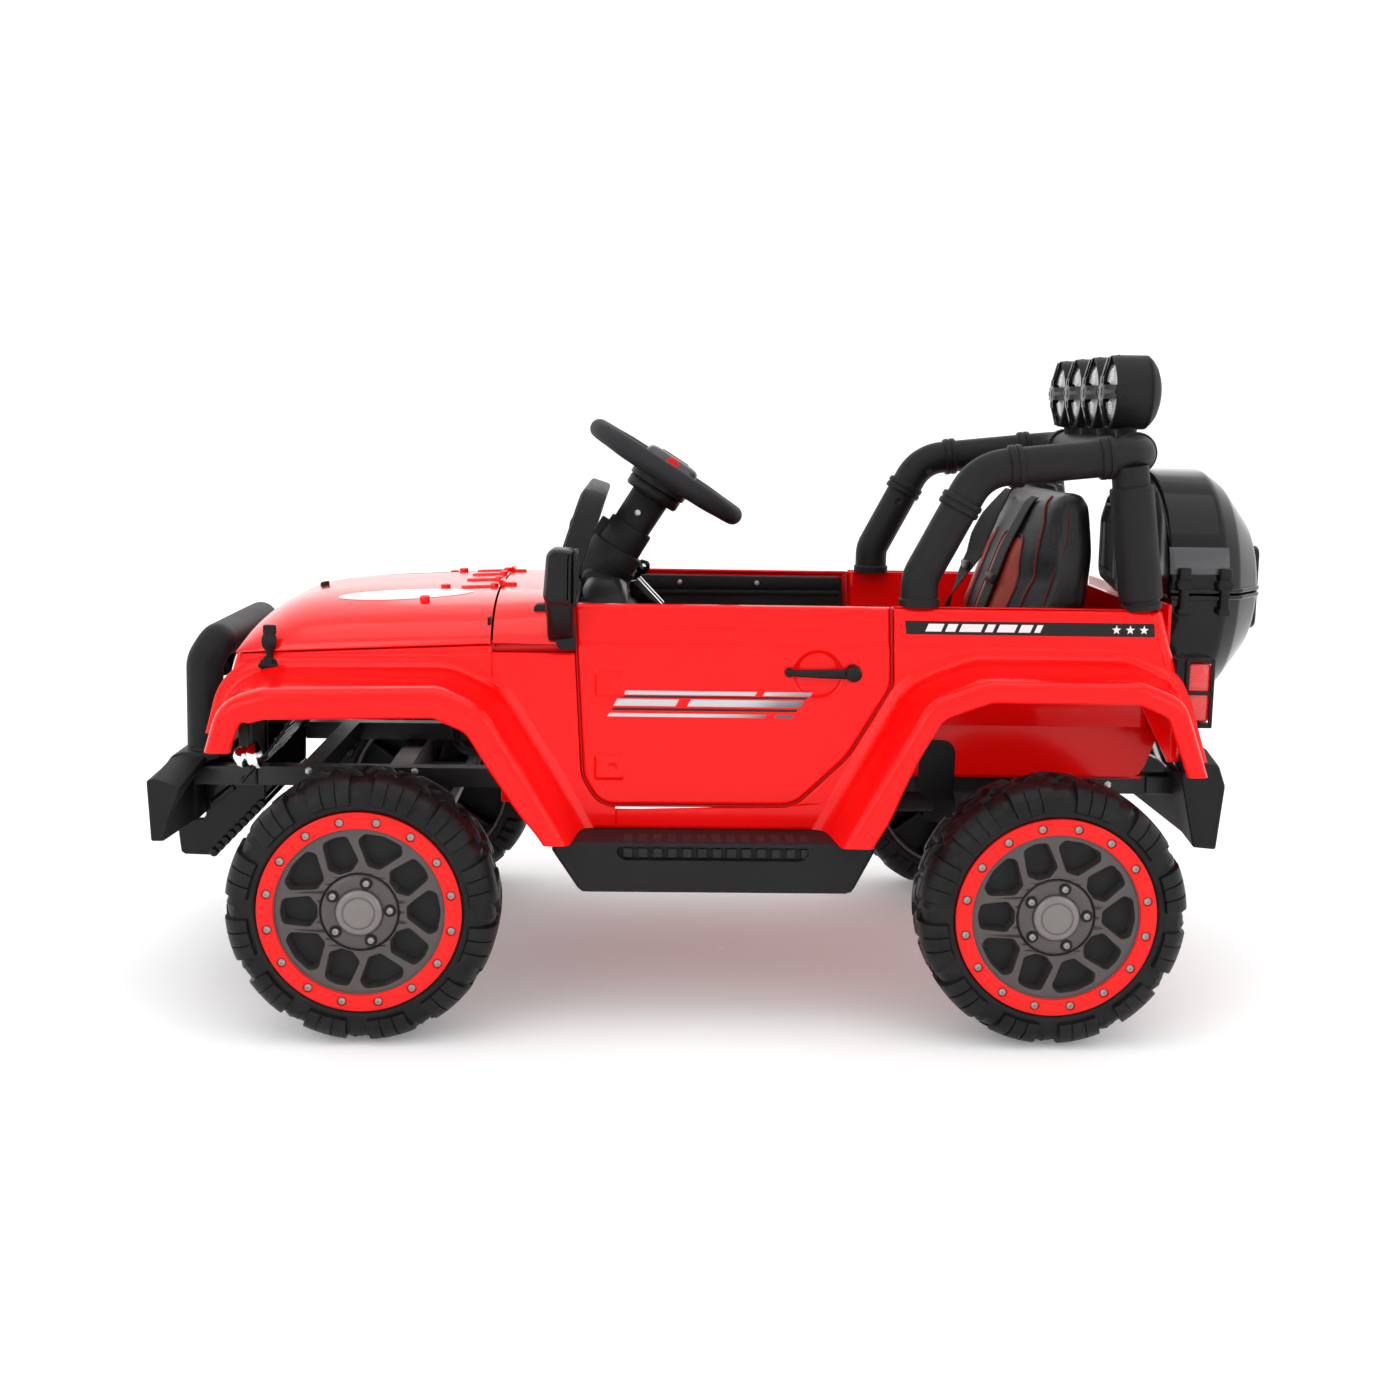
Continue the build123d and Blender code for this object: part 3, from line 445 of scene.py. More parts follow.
def gloss_plastic(name, colour, roughness=0.16, wave=0.35, coat=0.06, specular=0.2):
    """Moulded gloss plastic: rough = base + 0.12 * noise(9) - 0.06, with a slow shallow wave."""
    finish = Finish(name, colour, roughness, coat=coat, specular=specular)
    finish.shader.inputs["Coat Roughness"].default_value = 0.08
    finish.put("Roughness", 0.12 * finish.noise(9, 3) + (roughness - 0.06))
    return finish.bump(0.8 * finish.noise(14, 2) + 0.02 * finish.noise(900, 1), wave, 0.35)


def grained_plastic(name, colour, roughness=0.52, grain=0.12):
    """Matte moulded plastic: its colour drifts with noise(7), and fine cells make its grain."""
    finish = Finish(name, colour, roughness, specular=0.2)
    finish.put("Base Color", finish.ramp(finish.noise(7, 3), np.array(colour) * 0.86, np.array(colour) * 1.2
        + 0.002))
    finish.put("Roughness", 0.16 * finish.noise(11, 3) + (roughness - 0.08))
    return finish.bump(0.7 * finish.cells(1100) + 0.5 * finish.noise(700, 2), grain, 0.6)


def metal(name, colour, roughness=0.3, metallic=1.0, stretch=(1, 1, 1), scale=60):
    """Plain or painted metal with a faint streaky finish: rough = base + 0.2 * streak - 0.1."""
    finish = Finish(name, colour, roughness, metallic)
    streak = finish.noise(scale, 4, 0.6, stretch)
    finish.put("Roughness", 0.2 * streak + (roughness - 0.1))
    return finish.bump(streak, 0.03, 0.3)


def rubber(name, colour):
    """Hard tyre plastic: dark and slightly shiny, dusted paler where noise(16) passes a smooth step."""
    finish = Finish(name, colour, 0.45, specular=0.2)
    dust = finish.noise(16, 5, 0.65)
    finish.put("Base Color", finish.ramp(dust.smooth(0.35, 0.8), colour, np.array(colour) * 2.1 + 0.004))
    finish.put("Roughness", 0.3 * dust + 0.28)
    return finish.bump(0.6 * finish.noise(420, 3) + 0.4 * finish.noise(60, 2), 0.25, 0.5)


def leather(name, colour):
    """Thin synthetic leather: pebbled cells with fine creases."""
    finish = Finish(name, colour, 0.4, specular=0.35)
    finish.put("Roughness", 0.2 * finish.noise(20, 3) + 0.3)
    return finish.bump(0.8 * finish.cells(420) + 0.9 * finish.noise(45, 4, 0.6), 0.35, 0.7)


def weave(name, colour):
    """Belt webbing: height = the product of two fine waves over the strap."""
    finish = Finish(name, colour, 0.75, specular=0.3)
    across = (4200 * finish.axis("X")).sine()
    upward = (3600 * finish.axis("Z")).sine()
    return finish.bump(0.5 * (across * upward) + 0.5, 0.3, 0.8)


def perforated(name, colour):
    """Grille sheet: dark round holes on a fine slanted lattice, worked out from Y and Z."""
    finish = Finish(name, colour, 0.5, specular=0.25)
    rising = (900 * (finish.axis("Y") + 0.577 * finish.axis("Z"))).sine()
    falling = (900 * (finish.axis("Y") - 0.577 * finish.axis("Z"))).sine()
    holes = (rising * falling).smooth(0.05, 0.45)
    finish.put("Base Color", finish.ramp(holes, np.array(colour) * 1.6, (0.002, 0.002, 0.002)))
    return finish.bump(-1.0 * holes, 0.8, 0.8)


def lens(name, colour, glow=0.0):
    """Lamp lens: shiny tinted plastic with a faint flute across it."""
    finish = Finish(name, colour, 0.08, coat=0.6)
    if glow:
        finish.shader.inputs["Emission Color"].default_value = (*colour, 1)
        finish.shader.inputs["Emission Strength"].default_value = glow
    return finish.bump(0.5 * (2400 * finish.axis("Z")).sine() + 0.5, 0.35, 0.6)


def foil_with_painted_reflection(name, pale, dark):
    """Sticker foil: bands of pale and dark grey, slanted, under a clear coat."""
    finish = Finish(name, pale, 0.25, 0.35, coat=0.5)
    # The slanted pale and dark bands are a painted reflection on the silver foil.
    slant = 16 * finish.axis("Y") + -42 * finish.axis("Z") + 0.6 * finish.noise(30, 2)
    finish.put("Base Color", finish.ramp(slant.sine().smooth(-0.6, 0.8), pale, dark))
    return finish.material


def make_materials(colours):
    """Every finish of the toy by name; the colours that can be changed come from the panel's settings."""
    red, trim = tuple(colours.body_red), tuple(colours.trim_black)
    return {
        "red": gloss_plastic("gloss red", red),
        "hood_red": gloss_plastic("hood red", red, 0.15, 0.3, 0.22, 0.36),
        # Darker red: painted shade on the strips behind the hood's seam.
        "red_seam_painted_shade": gloss_plastic("red with painted seam shade", (0.52, 0.006, 0.006), 0.3),
        # Darker red: painted shade on the door jambs and stops.
        "red_jamb_painted_shade": grained_plastic("shaded red", (0.42, 0.004, 0.004), 0.75),
        "ring_red": gloss_plastic("ring red", tuple(colours.ring_red), 0.24, 0.15),
        "maroon": gloss_plastic("maroon cord", (0.11, 0.006, 0.008), 0.35),
        # White of the tail's prints, also the painted highlights on the hood.
        "white_print_and_highlight": gloss_plastic("white print and painted highlight", (0.80, 0.80, 0.80), 0.25, 0.05),
        "gloss_black": gloss_plastic("gloss black", (0.006, 0.006, 0.0065), 0.1, 0.2),
        "black": grained_plastic("grained black", trim),
        "black_smooth": grained_plastic("smooth black", (0.0055, 0.0056, 0.006), 0.36, 0.04),
        "grip": grained_plastic("soft grip", (0.016, 0.0165, 0.019), 0.6, 0.2),
        "rim_dark": grained_plastic("rim well", (0.012, 0.0125, 0.013), 0.5),
        "ink": grained_plastic("ink print", (0.018, 0.018, 0.020), 0.3, 0.03),
        # Grey of the horn pad and the bar panels' frames, also the painted sheen on the spare case's band.
        "grey_panel_and_painted_sheen": metal("grey panel and painted sheen", (0.075, 0.076, 0.08), 0.32, 0.5, scale=200),
        "rim": metal("rim grey", tuple(colours.rim_grey), 0.4, 0.6, scale=240),
        "cap": metal("hub cap grey", (0.19, 0.175, 0.17), 0.35, 0.7, scale=120),
        "bolt": metal("bolt grey", (0.30, 0.29, 0.28), 0.35, 0.9, scale=200),
        "chrome": metal("chrome", (0.82, 0.82, 0.83), 0.12, 1.0),
        "steel": metal("zinc steel", (0.50, 0.50, 0.49), 0.35, 1.0, (1, 6, 1)),
        "steel_black": metal("painted steel", (0.012, 0.012, 0.0125), 0.38, 0.15, scale=90),
        "mirror": metal("mirror glass", (0.62, 0.70, 0.80), 0.06, 1.0, scale=8),
        "tyre": rubber("tyre black", (0.0045, 0.0045, 0.005)),
        "leather": leather("black leather", (0.0085, 0.0085, 0.0105)),
        "leather_red": leather("red brown leather", tuple(colours.seat_red)),
        "webbing": weave("belt webbing", (0.012, 0.012, 0.013)),
        "mesh": perforated("grille sheet", (0.030, 0.031, 0.034)),
        "lens": lens("clear lens", (0.80, 0.81, 0.82)),
        "red_lens": lens("red lens", (0.62, 0.012, 0.012), 0.12),
        # Foil with its reflection painted in as slanted bands.
        "foil_with_painted_reflection": foil_with_painted_reflection("foil print with painted reflection", (0.52, 0.54, 0.56), (0.075, 0.085, 0.10)),
    }


M = {}


@operator("finishes", "Finishes")
def build_finishes():
    """Every finish, mixed from the colour settings."""
    M.update(make_materials(bpy.context.scene.toy_colours))


def redress(node, finish):
    """A kept solid takes a finish of its own."""
    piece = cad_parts[node]
    piece.data.materials.clear()
    piece.data.materials.append(M[finish])
    for face in piece.data.polygons:
        face.material_index = 0


# Stage: camera, light and floor

@operator("stage", "Stage")
def build_stage():
    """Camera at the photo's viewpoint, a pale floor that curves up far behind, and soft light."""
    pitch, yaw, roll = 0.157449, 0.0323708, 0.0168807
    ahead = Vector((-math.cos(pitch) * math.cos(yaw), math.cos(pitch) * math.sin(yaw), -math.sin(pitch)))
    right = Vector((math.sin(yaw), math.cos(yaw), 0))
    up = right.cross(ahead)
    turned_right = math.cos(roll) * right + math.sin(roll) * up
    turned_up = -math.sin(roll) * right + math.cos(roll) * up
    optics = bpy.data.cameras.new("camera")
    optics.sensor_width, optics.lens = 36.0, 36.0 * 1815.756 / 1400
    optics.clip_start, optics.clip_end = 0.05, 60
    camera = bpy.data.objects.new("camera", optics)
    turn = Matrix((turned_right, turned_up, -ahead)).transposed()
    camera.matrix_world = Matrix.Translation((2.01885, -0.0935, 0.60869)) @ turn.to_4x4()
    bpy.context.scene.collection.objects.link(camera)
    bpy.context.scene.camera = camera

    backdrop = Finish("pale floor", (0.93, 0.93, 0.93), 0.9, specular=0.0)
    backdrop.put("Roughness", 0.1 * backdrop.noise(3, 2) + 0.85)
    backdrop.shader.inputs["Emission Color"].default_value = (1, 1, 1, 1)
    backdrop.shader.inputs["Emission Strength"].default_value = 0.16
    reach = np.concatenate([np.linspace(0, 2600, 6), 2600 + 2400 * np.sin(np.linspace(0.1, math.pi / 2,
        14)), np.full(4, 5000.0)])
    rise = np.concatenate([np.full(6, -0.6), 2400 * (1 - np.cos(np.linspace(0.1, math.pi / 2, 14))),
        np.linspace(2900, 7000, 4)])
    turn = np.linspace(0, 2 * math.pi, 73)
    floor = grid([[(r * math.cos(a), r * math.sin(a), z) for a in turn] for r,
        z in zip(np.maximum(reach, 1), rise)])
    mesh = bpy.data.meshes.new("floor")
    mesh.from_pydata((floor.points * MM).tolist(), [], [list(map(int, f)) for f in floor.faces])
    mesh.materials.append(backdrop.material)
    plate = bpy.data.objects.new("floor", mesh)
    bpy.context.scene.collection.objects.link(plate)

    def lamp(name, place, target, size, watts):
        """An area lamp that faces a target."""
        light = bpy.data.lights.new(name, "AREA")
        light.shape, light.size, light.size_y = "RECTANGLE", size[0], size[1]
        light.energy = watts
        piece = bpy.data.objects.new(name, light)
        piece.location = place
        piece.rotation_mode = "QUATERNION"
        piece.rotation_quaternion = (Vector(target) - Vector(place)).to_track_quat("-Z", "Y")
        bpy.context.scene.collection.objects.link(piece)

    lamp("overhead", (0.6, 0.0, 3.2), (0, 0, 0.3), (3.2, 2.6), 22)
    lamp("side_front", (2.6, -1.9, 1.5), (0, -0.2, 0.35), (1.6, 1.6), 11)
    lamp("side_rear", (2.4, 2.1, 1.3), (0, 0.2, 0.35), (1.6, 1.4), 8)
    lamp("far_side", (-2.6, 0.3, 1.8), (0, 0, 0.3), (2.4, 1.4), 8)
    world = bpy.data.worlds.new("studio")
    world.use_nodes = True
    world.node_tree.nodes["Background"].inputs["Color"].default_value = (1, 1, 1, 1)
    world.node_tree.nodes["Background"].inputs["Strength"].default_value = 0.92
    bpy.context.scene.world = world
    bpy.context.scene.view_settings.view_transform = "Standard"


# Body sizes, in millimetres

BODY_HALF = 218.0
NOSE_HALF = 197.0
WAIST = 418.0
SILL = 190.0
SEAM = 361.5
COWL_Y = -243.5
NOSE_LOW_Y = -514.0
DOOR = [(-161, 418), (-151.5, 243), (-134, 214), (61, 215), (115, 267), (157, 338), (154, 418)]
DOOR_RADII = [0, 30, 26, 34, 60, 30, 0]
FRONT_EDGE = [(-511.5, 278), (-497, 326), (-457, 338), (-288, 341.5), (-244, 322), (-204, 257), (-164, 190)]
REAR_EDGE = [(104, 190), (184, 334), (240, 355), (392, 355), (433, 338), (459, 264)]
FRONT_ARCH = [(-188, 190), (-234, 265), (-251, 295), (-269, 310), (-295, 318)]
REAR_ARCH_FRONT = [(136, 190), (195, 297), (222, 322), (252, 336)]
REAR_ARCH_BACK = [(442, 264), (411, 323), (388, 336)]
TAIL = [(457, 264), (457, 328), (431, 418)]


def step(low, high, value):
    """Smooth step from 0 at low to 1 at high."""
    t = np.clip((np.asarray(value, float) - low) / (high - low), 0, 1)
    return t * t * (3 - 2 * t)


def inside(value, low, high, soft):
    """1 from low to high, with a smooth step that starts at each of them."""
    return step(low, low + soft, value) * (1 - step(high, high + soft, value))


def gap_to(points, line):
    """Shortest distance from 2-D points to a polyline."""
    line = np.asarray(line, float)
    a, b = line[:-1], line[1:]
    run = b - a
    rel = points[..., None, :] - a
    t = np.clip((rel * run).sum(-1) / (run * run).sum(-1), 0, 1)
    return np.linalg.norm(rel - t[..., None] * run, axis=-1).min(-1)


def roll(distance, r):
    """How far a rolled edge of radius r has turned in at a distance from the edge."""
    d = np.clip(distance, 0, r)
    return r - np.sqrt(np.maximum(r * r - (r - d) ** 2, 0))


def seam_z(y):
    """Height of the seam below the hood and the cowl: it rises by 12 mm over 214 mm towards the screen."""
    return SEAM + (np.asarray(y, float) + 505) * 0.056


def side_x(y, z):
    """Half width of the body's side: a shallow ledge at Z 378, a slight belly and a rolled waist."""
    y, z = np.broadcast_arrays(np.asarray(y, float), np.asarray(z, float))
    x = BODY_HALF - 2.6 * step(375, 382, z) - 1.2 * ((z - 300) / 110) ** 2
    return x - roll(WAIST - z, 6)


def nose_x(y):
    """Half width of the nose: from the cowl's 218 to the grille's 197."""
    share = (COWL_Y - np.asarray(y, float)) / (COWL_Y - NOSE_LOW_Y)
    return BODY_HALF + (NOSE_HALF - BODY_HALF) * np.clip(share, 0, 1.1)


def spread(low, high, count, edge=0.0):
    """Places from low to high; a positive edge crowds them towards both ends."""
    t = np.linspace(0, 1, count)
    t = (1 - edge) * t + edge * (1 - np.cos(math.pi * t)) / 2
    return low + (high - low) * t


def side_panel(zs, front, back, columns=48, edges=(), depth=3.0, dish=None):
    """Panel of the left side: rows at zs, each from front(z) to back(z), P = (side_x - roll, y, z)."""
    zs = np.asarray(zs, float)
    y0 = np.array([front(z) for z in zs])
    y1 = np.array([back(z) for z in zs])
    t = spread(0, 1, columns, 0.6)
    y = y0[:, None] + (y1 - y0)[:, None] * t
    z = np.broadcast_to(zs[:, None], y.shape)
    x = side_x(y, z)
    flat = np.stack([y, z], axis=-1)
    for line in edges:
        x = x - roll(gap_to(flat, line), depth)
    if dish is not None:
        x = x - dish(y, z)
    return grid(np.stack([x, y, z], axis=-1))


def reading(line):
    """Y as a function of Z along a polyline given as (Y, Z)."""
    line = sorted(line, key=lambda p: p[1])
    return lambda z: float(np.interp(z, [p[1] for p in line], [p[0] for p in line]))


def door_line(gap=0.0):
    """The door's outline with rounded corners, grown outwards by a gap."""
    line = rounded(DOOR, DOOR_RADII, steps=10)
    along = unit(np.gradient(line, axis=0))
    out = np.stack([along[:, 1], -along[:, 0]], axis=1)
    middle = np.array([0.0, 330.0])
    if ((line - middle) * out).sum() < 0:
        out = -out
    return line + out * gap


def door_edges(gap):
    """Front and rear edges of the door as functions of Z, and the height of its bottom."""
    line = door_line(gap)
    low = int(np.argmin(np.abs(line[:, 0] + 36)))
    return reading(line[:low + 1]), reading(line[low:]), line[:, 1].min()


def flare(edge, radii, body_x, face):
    """Fender flare: a section of (across, outward) points carried along its edge line.

    P(t) = (x_k, edge(t) + s_k * n(t)), where n turns level at both ends so that they are cut flat."""
    count = 110
    line = resampled(rounded(edge, radii, steps=12), count)
    along = unit(np.gradient(line, axis=0))
    inward = np.stack([along[:, 1], -along[:, 0]], axis=1)
    length = np.linspace(0, 1, count)
    for end, share in ((0, length), (-1, 1 - length)):
        level = np.array([1.0 if end == 0 else -1.0, 0.0])
        weight = (1 - step(0, 0.16, share))[:, None]
        inward = unit(inward * (1 - weight) + level * weight)
    height = face[1] + (face[0] - face[1]) * (1 - step(0, 0.25, length)) + (face[2] - face[1]) * step(0.75,
        1, length)
    rows = []
    for at, way, h in zip(line, inward, height):
        xb = float(body_x(*at))
        section = [(xb - 3, 25), (xb + 0.4, 23), (xb + 1.2, 18), (xb + 4, 13.5), (xb + 10, 10),
            (xb + 22, 7.6), (xb + 45, 5.4), (282, 3.2), (289, 2.4), (294, 1.0), (297.6, -1.6), (299.4, -5),
            (300, -9), (300, -h + 5), (299.5, -h + 2), (298, -h + 0.4), (295.5, -h), (293, -h + 0.8),
            (292.4, -h + 4), (292, -9), (288, -4), (280, -2), (xb + 20, 1.5), (xb + 2, 3), (xb - 3, 4)]
        section = np.array(section)
        rows.append(np.column_stack([section[:, 0], at - way * section[:, 1:]]))
    return solid(rows)


def body_sides():
    """Red skins of one side: front quarter, sill, rear quarter and the strip behind the rear arch."""
    front_edge, rear_edge, low = door_edges(2.0)
    opening = door_line(2.0)
    arch = reading(FRONT_ARCH)
    seams = [opening]
    front = side_panel(spread(SILL, 368.5, 44, 0.2), lambda z: max(arch(z) if z < 318 else -400, COWL_Y),
        lambda z: front_edge(max(z, low)), 30, seams + [[(-300, 369.2), (-100, 369.2)]])
    sill = side_panel(spread(SILL, low, 8, 0.5), lambda z: front_edge(low), lambda z: rear_edge(low), 60,
        seams, 1.0)
    lower = reading(REAR_ARCH_FRONT)
    quarter_low = side_panel(spread(SILL, 336, 46), lambda z: rear_edge(max(z, low)), lower, 34, seams)
    tail = reading(TAIL)
    quarter = side_panel(spread(336, WAIST, 40, 0.4), rear_edge, lambda z: tail(z) - 14, 60, seams)
    behind = side_panel(spread(264, 336, 14), reading(REAR_ARCH_BACK), lambda z: tail(z) - 14, 14)
    corner_rows = []
    for z in spread(264, WAIST, 30, 0.4):
        x0, y1 = float(side_x(0, z)), tail(z)
        turn = np.linspace(0, math.pi / 2, 8)
        row = [(x0 - 14 + 14 * math.cos(a), y1 - 14 + 14 * math.sin(a), z) for a in turn]
        corner_rows.append(row)
    return joined([front, sill, quarter_low, quarter, behind, grid(corner_rows)])


def cowl_section(y, w, crown, low, count=64, n=3.5, m=1.8):
    """Arch across the nose: |x / w|^n + h^m = 1, with h the height share between low and crown."""
    turn = np.linspace(-math.pi / 2, math.pi / 2, count)
    s = np.sin(turn)
    x = w * np.sign(s) * np.abs(s) ** (2 / n)
    h = np.abs(np.cos(turn)) ** (2 / m)
    return np.stack([x, np.broadcast_to(np.asarray(y, float), x.shape), low + (crown - low) * h], axis=-1)


@operator("body", "Body sides")
def build_body():
    """The body's red side skins and its four fender flares."""
    make("body_sides", both_sides(body_sides()), "red", "body_shell", solidify=3.5, sharp=50)
    front = flare(FRONT_EDGE, [0, 62, 30, 40, 46, 60, 0], lambda y,
        z: min(nose_x(min(y, COWL_Y)), BODY_HALF) - 0.6 - 6 * float(step(-470, -512, y)) ** 2,
        (24, 27.5, 24))
    rear = flare(REAR_EDGE, [0, 44, 40, 40, 34, 0], lambda y, z: float(side_x(y, min(z + 20, 372))) - 0.4,
        (30, 20, 20))
    make("flares", both_sides(front + rear), "red", "body_shell", sharp=70)


@operator("cowl", "Cowl")
def build_cowl():
    """The cowl, from the hood's seam to the screen, and the strips behind the hood's seam."""
    rows = [cowl_section(y, BODY_HALF - 1.5 + 0.8 * t, 424.5 - 1.5 * t, 377, 72, 3.6 + 2.4 * t, 1.8
        - 0.4 * t) for t, y in zip(np.linspace(0, 1, 12), np.linspace(COWL_Y + 0.8, -165, 12))]
    rows = [rows[0] + (0, 0.4, -4)] + rows
    make("cowl", grid(rows), "hood_red", "body_shell", sharp=50, solidify=3)
    # The strips behind the hood's seam take a darker red: painted shade in the recess under the hood's lip.
    strip = grid([[(float(min(nose_x(y), BODY_HALF)) - 5.2, y, z) for z in (seam_z(y) - 12, seam_z(y) + 4)]
        for y in np.linspace(-498, -158, 40)])
    make("seam_strips", both_sides(strip), "red_seam_painted_shade", "body_shell", solidify=1.5)


@operator("tub", "Tub")
def build_tub():
    """The tub's waist ledges, tail panel, floor, rear box, wheel houses and door jambs."""
    ledge = []
    for y in np.linspace(158, 420, 40):
        ledge.append([(BODY_HALF - 8, y, WAIST - 0.6), (BODY_HALF - 6, y, WAIST), (207, y, WAIST),
            (205, y, WAIST - 1.5), (205, y, WAIST - 20), (205, y, WAIST - 120)])
    make("waist_ledges", both_sides(grid(ledge)), "red", "body_shell", solidify=2)

    tail = reading(TAIL)
    rows = []
    for z in spread(264, WAIST - 5, 30, 0.3):
        rows.append([(x, tail(z), z) for x in np.linspace(-204.4, 204.4, 24)])
    for a in np.linspace(0, math.pi / 2, 6)[1:]:
        rows.append([(x, tail(WAIST - 5) - 6 + 6 * math.cos(a), WAIST - 5 + 5 * math.sin(a))
            for x in np.linspace(-204.4, 204.4, 24)])
    rows.append([(x, 421.0, WAIST) for x in np.linspace(-204.4, 204.4, 24)])
    rows.append([(x, 421.0, WAIST - 60) for x in np.linspace(-204.4, 204.4, 24)])
    make("tail_panel", grid(rows), "red", "body_shell", solidify=2.5)

    make("tub_floor", block((-205, 205), (-240, 180), (236, 240), 1.5), "red", "body_shell")
    box_line = rounded([(150, 238), (428, 238), (450, 300), (452, 340), (150, 340)], [0, 16, 16, 0, 0],
        steps=5)
    house = extruded(resampled(box_line, 60), 166, 170)
    shelf = block((166, 216), (140, 446), (336.5, 340), 1)
    make("wheel_houses", both_sides(house + shelf), "red", "body_shell")
    inner = block((-170, 170), (150, 430), (237, 240), 1) + block((-170, 170), (448, 452), (300, 420), 1)
    make("rear_box", inner, "red", "body_shell")

    opening = door_line(2.0)
    # The jambs and stops take a darker red: painted shade inside the door gap.
    jamb = [[(x, y, min(z, WAIST - 1)) for x in (217.2, 215.5, 206, 197)] for y, z in opening]
    make("door_jambs", both_sides(grid(jamb)), "red_jamb_painted_shade", "body_shell", solidify=2)
    inside = door_line(-3.0)
    stop = grid([[(206.5, y, min(z, WAIST - 1)) for y, z in line] for line in (opening, inside)])
    make("door_stops", both_sides(stop), "red_jamb_painted_shade", "body_shell", solidify=1.5)

    low_wall = block((196, 199), (-236, 165), (212, 240), 1)
    make("inner_walls", both_sides(low_wall), "red", "body_shell")
    slot = rounded_box_line(38, 62, 14, 6) + (214, 245)
    make("house_slots", both_sides(extruded(slot, 169, 171)), "black_smooth", "body_shell")


@operator("nose", "Nose")
def build_nose():
    """Nose sides below the hood, and the floor of its bay."""
    rows = []
    for y in spread(COWL_Y, -511, 44, 0.2):
        w = nose_x(y)
        front = step(-470, -512, y)
        high = seam_z(y) - 0.9
        side = []
        for z in np.concatenate([spread(320, high - 11, 8), high
                - np.array([9.6, 8.8, 8, 7, 5, 3, 2, 1.2, 0.6, 0.2, 0])]):
            x = w - 0.6 - 1.5 * step(-9.8, -8, z - high) - roll(np.array(high - z), 1.6) - 6 * front ** 2
            side.append((float(x), max(y, nose_y(z)), z))
        rows.append(side)
    make("nose_sides", both_sides(grid(rows)), "red", "body_shell", solidify=3.5)
    wall = block((-206, 206), (-249, -246), (318, 402), 1)
    make("bay_wall", wall, "black_smooth", "body_shell")
    floor = grid([[(share * (nose_x(y) - 3), y, 321) for share in np.linspace(-1, 1, 9)]
        for y in np.linspace(-501, -246, 12)])
    make("bay_floor", floor, "black_smooth", "body_shell", solidify=3)


@operator("doors", "Doors")
def build_doors():
    """Red door skins with moulded hinge pads and a handle dish."""
    front, back, low = door_edges(0.0)
    line = door_line(0.0)

    def dish(y, z):
        """How deep the skin is drawn in: the bowl, less the hinge pads, plus the upper groove."""
        r = np.hypot(y - 83, z - 350)
        bowl = 5.0 * (1 - step(20, 25.5, r)) * (0.35 + 0.65 * (r / 25) ** 2)
        pads = 0
        for z0 in (339, 254):
            pad = inside(y, -141, -113, 2.5) * inside(z, z0 - 14, z0 + 10, 2.5)
            cup = inside(y, -128, -119, 1) * inside(z, z0 - 5, z0 + 2, 1)
            pads = pads + pad * 2.2 - cup * 1.6
        top = 1.6 * inside(y, -108, 128, 4) * step(392, 396, z)
        return bowl - pads + top

    skin = side_panel(spread(low, WAIST, 120, 0.15), front, back, 190, [line], 3.2, dish)
    for body, shape in (("door_left", skin), ("door_right", skin.mirrored())):
        make(body + "_skin", shape, "red", body, body, solidify=chosen("skin_wall"),
            sharp=60)


# Wheels, made about their own centre with +X outwards

TRACK_HALF = 292.0
AXLE_Z = 132.0
CORNERS = {"front_left": (1, -360.5), "front_right": (-1, -360.5), "rear_left": (1, 308.5),
    "rear_right": (-1, 308.5)}
FACE_X = 39.0


def at_corner(shape, corner):
    """A wheel shape moved to its corner, mirrored for the right-hand side."""
    side, y = CORNERS[corner]
    return shape.moved((TRACK_HALF, y, AXLE_Z)).on_side(side)


def round_line(r, count=64, centre=(0, 0)):
    """Closed circle as (Y, Z) points."""
    return circle(r, count) + np.asarray(centre, float)


def plate(outer, holes, x):
    """Flat face at x between an outline and the holes in it, both as (Y, Z) points."""
    lines = [np.asarray(outer, float)] + [np.asarray(h, float) for h in holes]
    loops = [[Vector((0, p[0], p[1])) for p in line] for line in lines]
    faces = [np.array(tri) for tri in tessellate_polygon(loops)]
    flat = np.vstack(lines)
    return Shape(set_at(x, flat), faces)


def rings(loops):
    """Skin through closed (x, line) loops that have the same number of points."""
    rows = [set_at(x, line) for x, line in loops]
    return grid(rows, wrap_v=True)


def shrunk(line, inset):
    """Closed outline moved inwards along its normals."""
    line = np.asarray(line, float)
    ahead = unit(np.roll(line, -1, axis=0) - np.roll(line, 1, axis=0))
    normal = np.stack([-ahead[:, 1], ahead[:, 0]], axis=1)
    area = (line[:, 0] * np.roll(line[:, 1], -1) - line[:, 1] * np.roll(line[:, 0], -1)).sum()
    return line + normal * inset * (1 if area > 0 else -1)


def wheel_windows():
    """Outlines of the ten windows: five fan-shaped and five six-sided, by turns."""
    fan = [(45.5, -7.5), (69.5, -18.6), (76.3, -14), (77.3, 0), (76.3, 14), (69.5, 18.6), (45.5, 7.5)]
    six = [(40.3, -8), (49.5, -17.8), (74.2, -9.5), (75.6, 0), (74.2, 9.5), (49.5, 17.8), (40.3, 8)]
    out = []
    for i in range(5):
        for shape, turn, r in ((fan, 0, (4, 5, 5, 20, 5, 5, 4)), (six, 36, (3.5, 4, 5, 20, 5, 4, 3.5))):
            angle = [math.radians(a + 72 * i + turn) for _, a in shape]
            points = [(d * math.cos(a), d * math.sin(a)) for (d, _), a in zip(shape, angle)]
            out.append(resampled(rounded(points, r, closed=True, steps=5), 56, closed=True))
    return out


